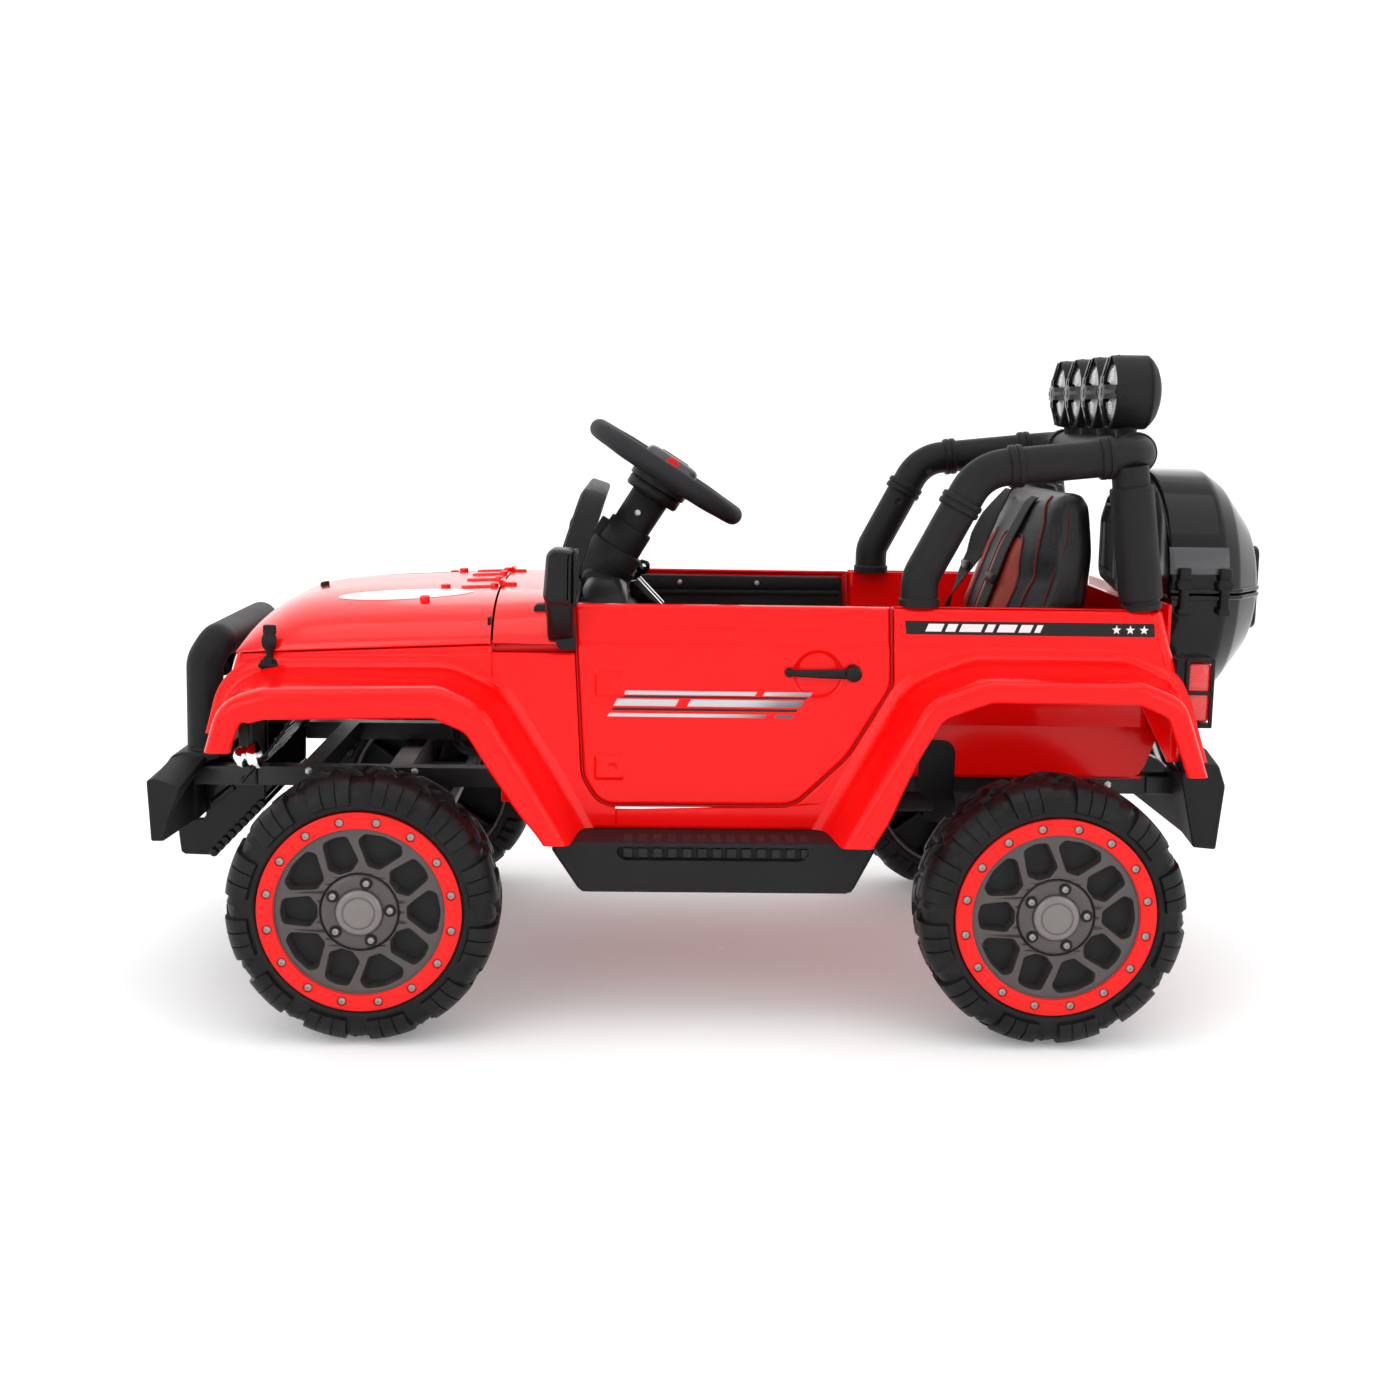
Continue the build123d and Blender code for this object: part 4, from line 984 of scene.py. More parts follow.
def wheel_rim():
    """Grey moulded face with deep chamfered windows, its outer band, barrel and rear ribs."""
    windows = wheel_windows()
    face = plate(round_line(80.2, 120), [shrunk(w, -0.8) for w in windows] + [round_line(38.6, 72)], FACE_X)
    walls = [rings([(FACE_X, shrunk(w, -0.8)), (FACE_X - 0.35, shrunk(w, -0.25)), (FACE_X - 1.2, w),
        (FACE_X - 9, shrunk(w, 1.6)), (FACE_X - 14, shrunk(w, 2.0))]) for w in windows]
    band = revolved([(FACE_X, 80.2), (FACE_X + 0.9, 80.8), (FACE_X + 1.1, 81.6), (FACE_X + 0.4, 82.4),
        (FACE_X - 3, 82.6), (FACE_X - 3, 97.4), (FACE_X - 14, 97.6), (-38, 97.6), (-40, 97), (-40, 93.5),
        (-37, 92.8), (FACE_X - 12, 92.6), (FACE_X - 14, 80)], (0, 0, 0), X, 120)
    groove = revolved([(FACE_X, 38.6), (FACE_X - 1.6, 38.0), (FACE_X - 2.4, 37.6), (FACE_X - 1.2, 36.9),
        (FACE_X + 0.6, 35.9), (FACE_X + 1.6, 34), (FACE_X + 2.0, 30), (FACE_X + 2.2, 24),
        (FACE_X + 1.6, 22.8)], (0, 0, 0), X, 96)
    return joined([face, band, groove] + walls)


def wheel_cap():
    """Round centre cap with a soft shoulder and one engraved circle."""
    profile = [(FACE_X + 1.4, 22.9), (FACE_X + 3.4, 22.6), (FACE_X + 5.2, 21.2), (FACE_X + 6.0, 19),
        (FACE_X + 6.1, 16), (FACE_X + 5.4, 15.4), (FACE_X + 5.5, 14.8), (FACE_X + 6.3, 14.2),
        (FACE_X + 6.9, 8), (FACE_X + 7.0, 0.01)]
    return revolved(profile, (0, 0, 0), X, 72)


def bolt(y, z, x, r, height):
    """Bolt head with a domed top and a socket."""
    head = [(x - 2, r), (x + height * 0.7, r), (x + height, r * 0.78), (x + height, r * 0.42),
        (x + height * 0.45, r * 0.36), (x + height * 0.45, 0.01)]
    return revolved(head, (0, y, z), X, 18)


def wheel_ring():
    """Flat red ring with a rounded edge and sixteen counterbored holes."""
    x = FACE_X + 4.0
    holes = [round_line(4.9, 24, (89.2 * math.cos(a), 89.2 * math.sin(a)))
        for a in np.radians((np.arange(16) + 0.5) * 22.5)]
    face = plate(round_line(96.9, 140), holes + [round_line(82.6, 120)], x)
    cups = [rings([(x, h), (x - 0.5, shrunk(h, 0.3)), (x - 2.2, shrunk(h, 0.35))]) for h in holes]
    floors = [plate(shrunk(h, 0.35), [], x - 2.2) for h in holes]
    outer = revolved([(x, 96.9), (x - 0.3, 97.5), (x - 1, 97.8), (x - 7, 97.8)], (0, 0, 0), X, 140)
    inner = revolved([(x, 82.6), (x - 0.4, 81.9), (x - 1.2, 81.5), (x - 4.4, 81.4)], (0, 0, 0), X, 120)
    return joined([face, outer, inner] + cups + floors)


def wheel_tyre():
    """Tyre: base section plus normal * depth(angle, place), in twelve groups of blocks round it.

    Each shoulder group is a wide block cut by two sipes, a low block fills the space between, and
    two slanted rows stand in the middle; the inner shoulder is half a group behind the outer one."""
    half = np.array([(37.5, 97.6), (40.2, 98.0), (42.0, 99.4), (43.0, 101.6), (43.2, 104.0), (43.3, 105.4),
        (43.3, 106.0), (43.0, 110), (42.2, 113.6), (40.6, 117.0), (38.0, 120.4), (34.6, 123.2),
        (30.6, 125.0), (26.5, 125.9), (22.0, 126.5), (18.2, 126.8), (17.6, 126.85), (15.0, 126.95),
        (14.4, 126.95), (9.0, 127.1), (3.0, 127.2), (2.4, 127.2)])
    section = np.vstack([half, half[::-1] * (-1, 1)])
    along = unit(np.gradient(section, axis=0))
    normal = np.stack([along[:, 1], -along[:, 0]], axis=1)
    if normal[8, 0] < 0:
        normal = -normal
    k = np.arange(len(section))
    mirror_k = np.minimum(k, len(section) - 1 - k)
    outer_side = k < len(half)
    knots = np.array([0, .055, .1, .112, .128, .2, .27, .318, .326, .344, .352, .45, .54, .548, .566, .574,
        .66, .75, .766, .778, .83, .9, .955])
    theta = (np.arange(12)[:, None] + knots[None]).ravel() / 12

    def between(a, low, high, soft=0.008):
        """1 where the fraction of a lies between low and high, with soft steps."""
        a = a % 1.0
        return step(low - soft, low + soft, a) * (1 - step(high - soft, high + soft, a))

    tread = chosen("tread_depth")
    rows = []
    for t in theta:
        local = t * 12 + np.where(outer_side, 0.0, 0.5)
        shoulder = (mirror_k >= 6) & (mirror_k <= 15)
        cut = between(local, .322, .348) + between(local, .544, .570)
        lug = between(local, .12, .772) * (1 - 0.55 * cut * (mirror_k <= 11))
        low = between(local, .83, .955) + between(local, .0, .05)
        depth = np.where(shoulder, tread * lug + np.where(mirror_k >= 9, 2.6, 0.0) * low, 0.0)
        slant = local + (section[:, 0]) * 0.008
        middle = (mirror_k >= 18) & (mirror_k <= 20)
        centre = between(slant, .10, .43, .02) + between(slant, .58, .91, .02)
        depth = depth + np.where(middle, tread * centre, 0.0)
        rib = np.where((mirror_k == 3) | (mirror_k == 4), 0.5, 0.0)
        place = section + normal * (depth + rib)[:, None]
        place[:, 1] = np.minimum(place[:, 1], 131.8)
        angle = 2 * math.pi * t
        rows.append(np.column_stack([place[:, 0], place[:, 1] * math.cos(angle),
            place[:, 1] * math.sin(angle)]))
    return grid(rows, wrap_u=True)


@operator("wheels", "Wheels")
def build_wheels():
    """Four wheels: tyre, grey face, red ring with its bolts, centre cap and dark well."""
    tyre = wheel_tyre()
    rim = wheel_rim()
    ring = wheel_ring()
    cap = wheel_cap()
    bolts = joined([bolt(89.2 * math.cos(a), 89.2 * math.sin(a), FACE_X + 2.0, 3.5, 2.2)
        for a in np.radians((np.arange(16) + 0.5) * 22.5)])
    lug_angles = np.radians(np.arange(5) * 72 + 4)
    lugs = joined([bolt(29.4 * math.cos(a), 29.4 * math.sin(a), FACE_X + 2.2, 3.3, 2.6)
        for a in lug_angles])
    cups = joined([revolved([(FACE_X + 2.3, 6.3), (FACE_X + 2.6, 5.9), (FACE_X + 2.3, 5.2),
        (FACE_X + 2.1, 0.01)], (0, 29.4 * math.cos(a), 29.4 * math.sin(a)), X, 28) for a in lug_angles])
    well = revolved([(FACE_X - 13, 92.4), (FACE_X - 14, 60), (FACE_X - 13, 20), (FACE_X - 13, 0.01)],
        (0, 0, 0), X, 72)
    back = revolved([(-38, 14), (-38.5, 17), (-10, 18), (-6, 26), (-5, 60), (-6, 92.6)], (0, 0, 0), X, 72)
    ribs = joined([block((-30, -5), (18, 91), (-1.6, 1.6), 0.6).turned(X, 36 * i) for i in range(10)])
    for corner in CORNERS:
        owner = "wheel_" + corner
        make("tyre_skin_" + corner, at_corner(tyre, corner), "tyre", "tyre_" + corner, owner,
            sharp=28)
        make("wheel_face_" + corner, at_corner(rim, corner), "rim", "rim_" + corner, owner,
            sharp=32)
        make("wheel_back_" + corner, at_corner(well + back + ribs + cups, corner), "rim_dark", "rim_"
            + corner, owner)
        make("wheel_cap_" + corner, at_corner(cap, corner), "cap", "rim_" + corner, owner)
        make("wheel_ring_" + corner, at_corner(ring, corner), "ring_red", "bead_ring_" + corner,
            owner, sharp=32)
        make("wheel_bolts_" + corner, at_corner(bolts + lugs, corner), "bolt", "bead_ring_" + corner,
            owner, sharp=32)


# Nose trim, front and lower pieces

BAY_FLOOR = 318.0


def nose_y(z):
    """Front of the nose at a height: it leans back by 0.29 mm for each mm of height."""
    return -510.5 + (np.asarray(z, float) - BAY_FLOOR) * 0.29


def star(cy, cz, r):
    """Five-pointed star as (Y, Z) points: its radius is r and 0.42 * r by turns, every 36 degrees."""
    turn = np.radians(90 + 36 * np.arange(10))
    reach = np.where(np.arange(10) % 2, r * 0.42, r)
    return np.stack([cy + reach * np.cos(turn), cz + reach * np.sin(turn)], axis=1)


def side_print(line, lift=0.25):
    """Thin print on the left side: a flat outline laid on the side surface."""
    line = np.asarray(line, float)
    flat = plate(line, [], 0)
    points = flat.points.copy()
    points[:, 0] = side_x(points[:, 1], points[:, 2]) + lift
    return Shape(points, flat.faces)


def strip_print(y0, y1, z0, z1, slant=0.0, lift=0.25, count=24):
    """Thin printed band between two heights, cut at a slant, laid on the side surface."""
    rows = []
    for z in np.linspace(z0, z1, 6):
        y = np.linspace(y0, y1, count) + slant * (z - z0)
        rows.append(np.column_stack([side_x(y, z) + lift, y, np.full(count, z)]))
    return grid(rows)


def hood_top(x, y):
    """Height of the hood's outer skin over a place: the arch solved for z."""
    crown = np.interp(y, HOOD_YS[::-1], HOOD_CROWNS[::-1])
    w = nose_x(y) - 1.0
    power = 3.5 - 0.9 * step(-440, -494, y)
    h = np.maximum(1 - np.abs(x / w) ** power, 0) ** (1 / 1.8)
    return seam_z(y) + 0.6 + (crown - seam_z(y) - 0.6) * h


HOOD_YS = np.array([-245.2, -246, -275, -300, -325, -350, -375, -400, -420, -436, -450, -461, -470, -478,
    -484.5, -490, -494.4, -497.6, -499.8, -501.2, -502.0])
HOOD_CROWNS = np.array([424, 424, 422.9, 422.0, 420.9, 419.7, 418.5, 417.0, 415.2, 413.2, 410.6, 407.4,
    403.8, 399.6, 395.4, 391.2, 387.0, 382.4, 377.4, 372.2, 366.5])


def hood_skin():
    """Arches from the cowl to the nose; their crown follows the hood's profile down over its front."""
    rows = []
    for y, top in zip(HOOD_YS, HOOD_CROWNS):
        w = nose_x(y) - 1.0
        power = 3.5 - 0.9 * float(step(-440, -494, y))
        rows.append(cowl_section(y, w, top, seam_z(y) + 0.6, 96, power, 1.8))
    return grid(np.array([rows[0] + (0, 0.3, -3.0)] + rows))


def on_hood(outline_xy, lift, crown=0.0):
    """Flat outline in X and Y laid on the hood's skin and lifted, as a domed pad with a skirt."""
    line = np.asarray(outline_xy, float)
    centre = line.mean(axis=0)
    rows = []
    for share, up in ((1.0, -1.0), (1.0, lift * 0.7), (0.93, lift), (0.6, lift + crown * 0.7),
            (0.01, lift + crown)):
        ring = centre + (line - centre) * share
        z = hood_top(ring[:, 0], ring[:, 1]) + up
        rows.append(np.column_stack([ring, z]))
    return grid(rows, wrap_v=True)


@operator("hood", "Hood")
def build_hood():
    """Hood skin with its bumps, washer jet, two plain white ovals, raised ribs and hinges."""
    make("hood_skin", hood_skin(), "hood_red", "hood", "hood", solidify=chosen("skin_wall"),
        sharp=60)
    bumps = joined([on_hood(circle(5.2, 20) + c, 4.2, 0.6) for c in ((150, -318), (98, -302), (-150, -318),
        (-98, -302))])
    jet = on_hood(circle(5.0, 20) + (0, -446), 4.5, 0.6)
    make("hood_jet", jet, "black_smooth", "hood", "hood")
    make("hood_bumps", bumps, "ring_red", "hood", "hood")
    # The two white ovals are a painted highlight on the hood's shoulders, laid on as thin white pads.
    turn = np.linspace(0, 2 * math.pi, 64, endpoint=False)
    rows = []
    for share in (1.0, 0.9, 0.6, 0.3, 0.01):
        x = 122 + 22 * share * np.sin(turn)
        y = -341 + 70 * share * np.cos(turn)
        rows.append(np.column_stack([x, y, hood_top(x, y) + 0.35]))
    oval = grid(rows, wrap_v=True)
    make("hood_painted_highlights", both_sides(oval), "white_print_and_highlight", "hood", "hood")
    covers = []
    for x in (-95, -32, 32, 95):
        covers.append(on_hood(rounded_box_line(4.6, 36, 2.2, 4) + (x, -268), 2.0, 0.4))
        covers.append(on_hood(circle(4.4, 20) + (x, -251), 3.6, 0.8))
    make("hood_ribs", joined(covers), "hood_red", "hood", "hood")
    hinge = joined([tube([(x - 12, -243.5, 426), (x - 0.5, -243.5, 426)], 3.2, 20) for x in (-80, 80)])
    make("hood_hinges", hinge, "red", "hood", "hood")
    fixed = joined([tube([(x + 0.5, -243.5, 426), (x + 12, -243.5, 426)], 3.2, 20)
        + block((x + 1, x + 11), (-243, -228), (421, 426.5), 1.5) for x in (-80, 80)])
    make("cowl_hinges", fixed, "red", "body_shell")


def latch(x, y):
    """Toggle latch on the hood's side: pads, arched body, waist and hooked lower pad."""
    body = block((x - 3.5, x + 3.4), (y - 6.4, y + 6.4), (381, 391), 1.8)
    body = body + block((x - 1, x + 5.6), (y - 4.6, y + 4.6), (377, 386), 1.4)
    rows = []
    for z, half, out in ((382, 5.6, 5.2), (379, 7.0, 6.4), (374, 7.4, 6.8), (369, 6.6, 6.0),
            (365, 3.6, 4.6), (360, 3.2, 4.2), (357.5, 3.4, 4.2)):
        line = rounded_box_line(2 * half, out, 1.2, 3)
        rows.append(np.column_stack([x + 0.4 + out / 2 + line[:, 1], y + line[:, 0],
            np.full(len(line), z)]))
    return body + solid(rows)


def latch_base(x, y):
    """Lower pad of a toggle latch with its hook, on the nose."""
    base = block((x - 3, x + 4.4), (y - 8.5, y + 8.5), (345, 356), 1.8)
    base = base + block((x + 2, x + 6.4), (y - 5, y + 5), (348, 359.5), 1.6)
    return base + tube([(x + 4.6, y - 9.6, 350.5), (x + 4.6, y + 9.6, 350.5)], 2.2, 16)


@operator("grille", "Grille")
def build_grille():
    """Leaning front panel with framed bars, and round head lamps in chrome bezels."""
    span = NOSE_HALF - 5.5
    holes = [rounded_box_line(172, 54, 10, 6) + (0, 337)]
    lamp = [round_line(28.5, 56, (x, 334)) for x in (-142.0, 142.0)]

    def outline(side, end):
        """The panel's outline drawn in by two insets, one at its sides and one at its top and bottom."""
        wide, low, high = span - side, 308 + end, SEAM - 1.0 - end
        points = [(-wide, low), (wide, low), (wide, high), (-wide, high)]
        return resampled(rounded(points, [14 - side, 14 - side, 4, 4], closed=True, steps=8), 160,
            closed=True)

    outer = outline(9, 2)

    def leaned(shape):
        """A shape drawn as (outward, across, up), set against the leaning front."""
        points = shape.points
        x, z, out = points[:, 1], points[:, 2], points[:, 0]
        return Shape(np.column_stack([x, nose_y(z) - out, z]), shape.faces)

    front = plate(outer, [shrunk(h, -0.6) for h in holes + lamp], 5.0)
    walls = [rings([(5.0, shrunk(h, -0.6)), (4.4, shrunk(h, 0)), (2.5, shrunk(h, 0.4)),
        (-4, shrunk(h, 0.8))]) for h in holes + lamp]
    rim = rings([(5.0, outer), (4.2, outline(5.6, 0.8)), (2.4, outline(3, 0.2)), (-0.5, outline(1, 0)),
        (-5, outline(0, 0)), (-9, outline(0, 0))])
    make("grille_front", leaned(joined([front, rim] + walls)), "red", "grille_panel",
        sharp=40)
    bars = joined([leaned(block((1.6, 6.4), (-85.6, 85.6), (z - 2.7, z + 2.7), 1.8))
        for z in (319, 331, 343, 355)])
    bars = bars + joined([leaned(block((-1, 3.2), (x - 2.2, x + 2.2), (311, 363), 1.2))
        for x in (-43, 0, 43)])
    mesh_back = leaned(plate(rounded_box_line(174, 56, 10, 6) + (0, 337), [], -2.5))
    make("grille_bars", bars, "gloss_black", "grille_panel")
    make("grille_back", mesh_back, "mesh", "grille_panel")
    lean = np.array([0, -1.0, 0.2])
    lamps, bezels, bowls = [], [], []
    for x in (-142.0, 142.0):
        origin = (x, nose_y(334), 334)
        bezels.append(revolved([(2, 28.2), (6.2, 28.4), (7.8, 27.2), (8.2, 25.6), (7.4, 24.2), (4.4, 23.6)],
            origin, lean, 56))
        lamps.append(revolved([(5.4, 24.0), (8.0, 21), (10.0, 15), (11.2, 8), (11.6, 0.01)], origin, lean,
            56))
        bowls.append(revolved([(4.6, 23.8), (2, 20), (0, 12), (-1, 6), (-1, 0.01)], origin, lean, 40))
    make("head_bezels", joined(bezels), "chrome", "head_lamps")
    make("head_lenses", joined(lamps), "lens", "head_lamps")
    make("head_bowls", joined(bowls), "chrome", "head_lamps")


@operator("markers", "Markers")
def build_markers():
    """Chrome lamps that hang under the flares' front corners, and the hood's toggle latches."""
    ball = revolved([(-10.6, 0.01), (-10.2, 3), (-8.4, 6.6), (-5.4, 9.2), (-1.6, 10.4), (1.6, 10.2),
        (3.4, 8.6), (4, 7)], (252, -484, 266), (0, 1, 0.0), 36)
    shell = revolved([(2, 7.2), (4.4, 9.4), (8, 12), (12, 13.4), (15, 13.6), (15, 12.4), (11, 11)],
        (252, -484, 266), (0, 1, 0.18), 36)
    stay = block((249, 255), (-480, -474), (274, 318), 1.5)
    make("marker_lamps", both_sides(ball + shell), "chrome", "head_lamps")
    make("marker_stays", both_sides(stay), "black_smooth", "head_lamps")
    x = nose_x(-467) - 1.0
    make("hood_latch_arms", both_sides(latch(x, -467)), "black_smooth", "hood_latches", body="hood")
    make("hood_latch_hooks", both_sides(latch_base(x + 1, -468)), "black_smooth", "body_shell")


def skin_between(sections, xs, per_side=5):
    """Loft through closed (Y, Z) sections with matching corners, set at places along X."""
    rows = []
    for line, x in zip(sections, xs):
        line = np.asarray(line, float)
        dense = np.vstack([np.linspace(line[i], line[(i + 1) % len(line)], per_side, endpoint=False)
            for i in range(len(line))])
        rows.append(set_at(x, dense))
    return solid(rows)


@operator("front_bumper", "Front bumper")
def build_front_bumper():
    """Front bumper, its stays and the feet of the tube hoop."""
    mid = [(-556, 178), (-574, 176.5), (-586, 176), (-589, 236), (-582, 246), (-572, 250), (-532, 250),
        (-532, 243), (-556, 240)]
    near = [(-560, 177), (-574, 176), (-586, 175.5), (-588.6, 236), (-581.6, 244.5), (-569, 247),
        (-546, 246), (-546, 240), (-560, 236)]
    end = [(-571, 174), (-577, 174), (-584, 174), (-587, 236), (-580, 238), (-566, 233), (-553, 228),
        (-555, 222), (-564, 200)]
    places = [-228, -222, -150, -146, 146, 150, 222, 228]
    mid, near, end = (np.array(line, float) for line in (mid, near, end))
    turning = near * 0.08 + end * 0.92
    blend = [end, turning, near, mid, mid, near, turning, end]
    make("front_bumper_skin", skin_between(blend, places, 1), "black", "front_bumper", bevel=2.2, sharp=24)
    stays = both_sides(block((125, 149), (-562, -493.5), (216, 236), 2))
    make("bumper_stays", stays, "steel_black", "front_bumper")
    pads = both_sides(revolved([(0, 20.6), (2.0, 20.4), (2.8, 19.8), (3.0, 18.8)], (118, -553, 249.6), Z,
        48))
    make("hoop_feet", pads, "black_smooth", "bull_bar")


@operator("bull_bar", "Bull bar")
def build_bull_bar():
    """Tube hoop on the bumper, with two small lamps inside it."""
    path = [(118, -553, 250), (118, -552, 342), (118, -540, 362), (-118, -540, 362), (-118, -552, 342),
        (-118, -553, 250)]
    hoop = resampled(rounded(path, [0, 24, 24, 24, 24, 0], steps=14), 150)
    make("hoop_tube", tube(hoop, chosen("bull_bar_radius"), 36), "black", "bull_bar")
    fog = joined([revolved([(0, 11), (14, 14), (20, 14.5), (22, 13.5), (22, 12)], (x, -534, 333),
        (0, -1, 0), 32) for x in (-74, 74)])
    fog_glass = joined([revolved([(20.6, 12.2), (22.4, 9), (23.2, 0.01)], (x, -534, 333), (0, -1, 0), 32)
        for x in (-74, 74)])
    arms = joined([tube([(x, -532, 333), (x, -530, 350), (x, -529, 360)], 4, 14) for x in (-74, 74)])
    make("fog_lamps", fog + arms, "black_smooth", "bull_bar")
    make("fog_glass", fog_glass, "lens", "bull_bar")


@operator("guard", "Guard")
def build_guard():
    """Ribbed guard below the bumper, with its cheeks, and the ribbed liners of the front arches."""
    cheek = [(-500, 262), (-531, 239.5), (-555, 239.5), (-555, 173), (-586, 173), (-582, 134), (-549, 133),
        (-492, 193), (-491, 240)]
    cheek_line = resampled(rounded(cheek, 4, closed=True, steps=4), 72, closed=True)
    plates = joined([rings([(x0, shrunk(cheek_line, 1)), (x0 + 1, cheek_line), (x1 - 1, cheek_line),
        (x1, shrunk(cheek_line, 1))]) + plate(shrunk(cheek_line, 1), [], x0)
        + plate(shrunk(cheek_line, 1), [], x1) for x0, x1 in ((-118, -112), (112, 118))])
    tray = extruded([(-500, 258), (-506, 262), (-532, 242), (-553, 242), (-553, 172), (-549, 172),
        (-549, 238), (-531, 238)], -113, 113)
    make("guard_plates", plates + tray, "gloss_black", "skid_plate", bevel=0.8)
    bars, knobs = [], []
    for t in np.arange(9) / 8:
        y, z = -496 - 51 * t, 190 - 53 * t
        bars.append(tube([(-114, y, z), (114, y, z)], 4.8, 20))
        knobs.append(revolved([(0, 5), (3, 4.8), (4.4, 3.4), (4.8, 0.01)], (118, y, z), X, 20))
    fin = block((118, 121.5), (-551, -522), (196, 204), 1.5).turned(X, 36, (0, -536, 200))
    make("guard_bars", joined(bars) + both_sides(joined(knobs) + fin), "gloss_black", "skid_plate")

    line = resampled(rounded([(-432, 316), (-447, 290), (-486, 243)], [0, 20, 0], steps=6), 60)
    share = np.linspace(0, 1, 60)
    xs = np.concatenate([[62, 66], np.linspace(80, 240, 12), [256, 260]])
    edge = np.array([0, .4] + [1] * 12 + [.4, 0])
    rows = []
    for s, (y, z) in zip(share, line[(share * 59).astype(int)]):
        rib = 2.4 * (0.5 + 0.5 * math.cos(2 * math.pi * 9 * s)) ** 2
        rows.append(np.column_stack([xs, y - rib * edge * 0.8, np.full(len(xs), z) + rib * edge * 0.5]))
    make("arch_liners", both_sides(grid(rows)), "gloss_black", "skid_plate", solidify=3)
    hang = both_sides(block((190, 204), (-500, -472), (252, 318), 3))
    make("liner_struts", hang, "black_smooth", "skid_plate")


@operator("rear_bumper", "Rear bumper")
def build_rear_bumper():
    """Rear bumper with its stays, and the valance below the tail."""
    low = [(478, 178), (501, 174), (507, 247), (500, 268), (474, 270), (462, 250)]
    far = [(472, 176), (496, 174), (502, 240), (494, 262), (462, 264), (456, 248)]
    far, low = np.array(far, float), np.array(low, float)
    make("rear_bumper_skin", skin_between([far, low * 0.1 + far * 0.9, low, low, low * 0.1 + far * 0.9,
        far], [-222, -217, -160, 160, 217, 222], 1), "black", "rear_bumper", bevel=2.2, sharp=24)
    make("rear_stays", both_sides(block((125, 149), (440.5, 482), (216, 236), 2)), "steel_black",
        "rear_bumper")
    valance = []
    for s in np.linspace(0, 1, 24):
        y, z = 430 + 32 * s, 330 - 82 * s
        valance.append([(x, y - 3 * math.cos(x / 12) * 0.3, z) for x in np.linspace(-205, 205, 60)])
    make("tail_valance", grid(valance), "gloss_black", "body_shell", solidify=2.5)


@operator("tail_lamps", "Tail lamps")
def build_tail_lamps():
    """Tail lamps: a red lens in a black guard."""
    lens_shape = both_sides(block((186, 212.5), (460, 484.6), (305, 365), 3.5))
    make("tail_lenses", lens_shape, "red_lens", "tail_lamps")
    guard = []
    for z in (301, 335, 369):
        guard.append(block((179, 216), (456, 486), (z - 2, z + 2), 1.2))
    for y in (458.5, 484):
        guard.append(block((212.6, 216), (y - 2, y + 2), (299.5, 370.5), 1.2))
    for x in (180.5, 214):
        guard.append(block((x - 1.8, x + 1.8), (483, 486.4), (299.5, 370.5), 1.2))
    back = block((178, 213), (446.5, 461), (299.5, 370), 2.5)
    make("tail_guards", both_sides(joined(guard) + back), "black_smooth", "tail_lamps")


@operator("steps", "Side steps")
def build_steps():
    """Running boards with a sunk pocket and rows of raised treads."""
    x0, x1 = 196.0, 280.0
    outline = corners([(-186, 189.7), (-152, 139), (116, 139), (142, 189.7)], [6, 8, 8, 6], 120)
    side = rings([(x, shrunk(outline, inset)) for x, inset in ((x1, 3.0), (x1 - 1.5, 0.9), (x1 - 4, 0),
        (x0, 0))])
    pocket = corners([(-120, 185.5), (-112, 172), (68, 172), (76, 185.5)], 3, 60)
    face = plate(shrunk(outline, 3.0), [pocket], x1)
    well = rings([(x1, pocket), (x1 - 6, shrunk(pocket, 1.5))]) + plate(shrunk(pocket, 1.5), [], x1 - 6)
    make("step_boards", both_sides(side + face + well), "black", "side_steps", sharp=35)
    treads = []
    for y in -110 + 14.6 * np.arange(13):
        treads.append(block((240, 274), (y, y + 9), (187.5, 189.9), 0.8))
        treads.append(block((x1 - 5.5, x1 - 2.0), (y, y + 9), (174.5, 184), 1.0))
    make("step_treads", both_sides(joined(treads)), "grip", "side_steps")


# Cabin

LEAN = math.radians(18)
COLUMN = math.radians(32)
HUB = np.array([0, -69.5, 542.5])


def slab(outer, holes, x0, x1, r=1.0):
    """Plate between two planes with rolled rims; its outline and holes are closed 2-D lines."""
    steps = [(0, 1.0), (0.3 * r, 0.3), (r, 0.0)]

    def rim(line, way):
        """The rolled wall along one outline."""
        low = [(x0 + d, shrunk(line, way * r * k)) for d, k in steps]
        high = [(x1 - d, shrunk(line, way * r * k)) for d, k in steps[::-1]]
        return rings(low + high)

    ends = [plate(shrunk(outer, r), [shrunk(h, -r) for h in holes], x) for x in (x0, x1)]
    return joined(ends + [rim(outer, 1)] + [rim(h, -1) for h in holes])


def corners(points, radii, count=96):
    """Closed outline with rounded corners and even spacing."""
    return resampled(rounded(points, radii, closed=True, steps=6), count, closed=True)


def across(shape):
    """A plate drawn as (depth, across, up) turned to stand across the vehicle, facing the front."""
    t, a, b = shape.points.T
    return Shape(np.column_stack([a, t, b]), shape.faces)


@operator("screen", "Screen")
def build_screen():
    """Thick screen surround that leans back, and its foot."""
    outer = corners([(-182, -4), (182, -4), (172, 118), (-172, 118)], [3, 3, 34, 34], 140)
    inner = corners([(-156, 22), (156, 22), (148, 92), (-148, 92)], [12, 12, 20, 20], 110)
    shape = slab(outer, [inner], 0.2, 23.8, 3.2)
    inset = corners([(-176, 6), (176, 6), (166, 112), (-166, 112)], [4, 4, 29, 29], 120)
    lip = slab(inset, [shrunk(inner, -5.5)], -1.0, 1.0, 0.9)
    t, a, b = (shape + lip).points.T
    y = -192 + b * math.sin(LEAN) + t * math.cos(LEAN)
    z = np.maximum(418.0, 418 + b * math.cos(LEAN) - t * math.sin(LEAN))
    frame_shape = Shape(np.column_stack([a, y, z]), (shape + lip).faces)
    foot = block((-181, 181), (-195, -158), (418.2, 426), 2.5)
    make("screen_surround", frame_shape + foot, "black", "windscreen_frame")


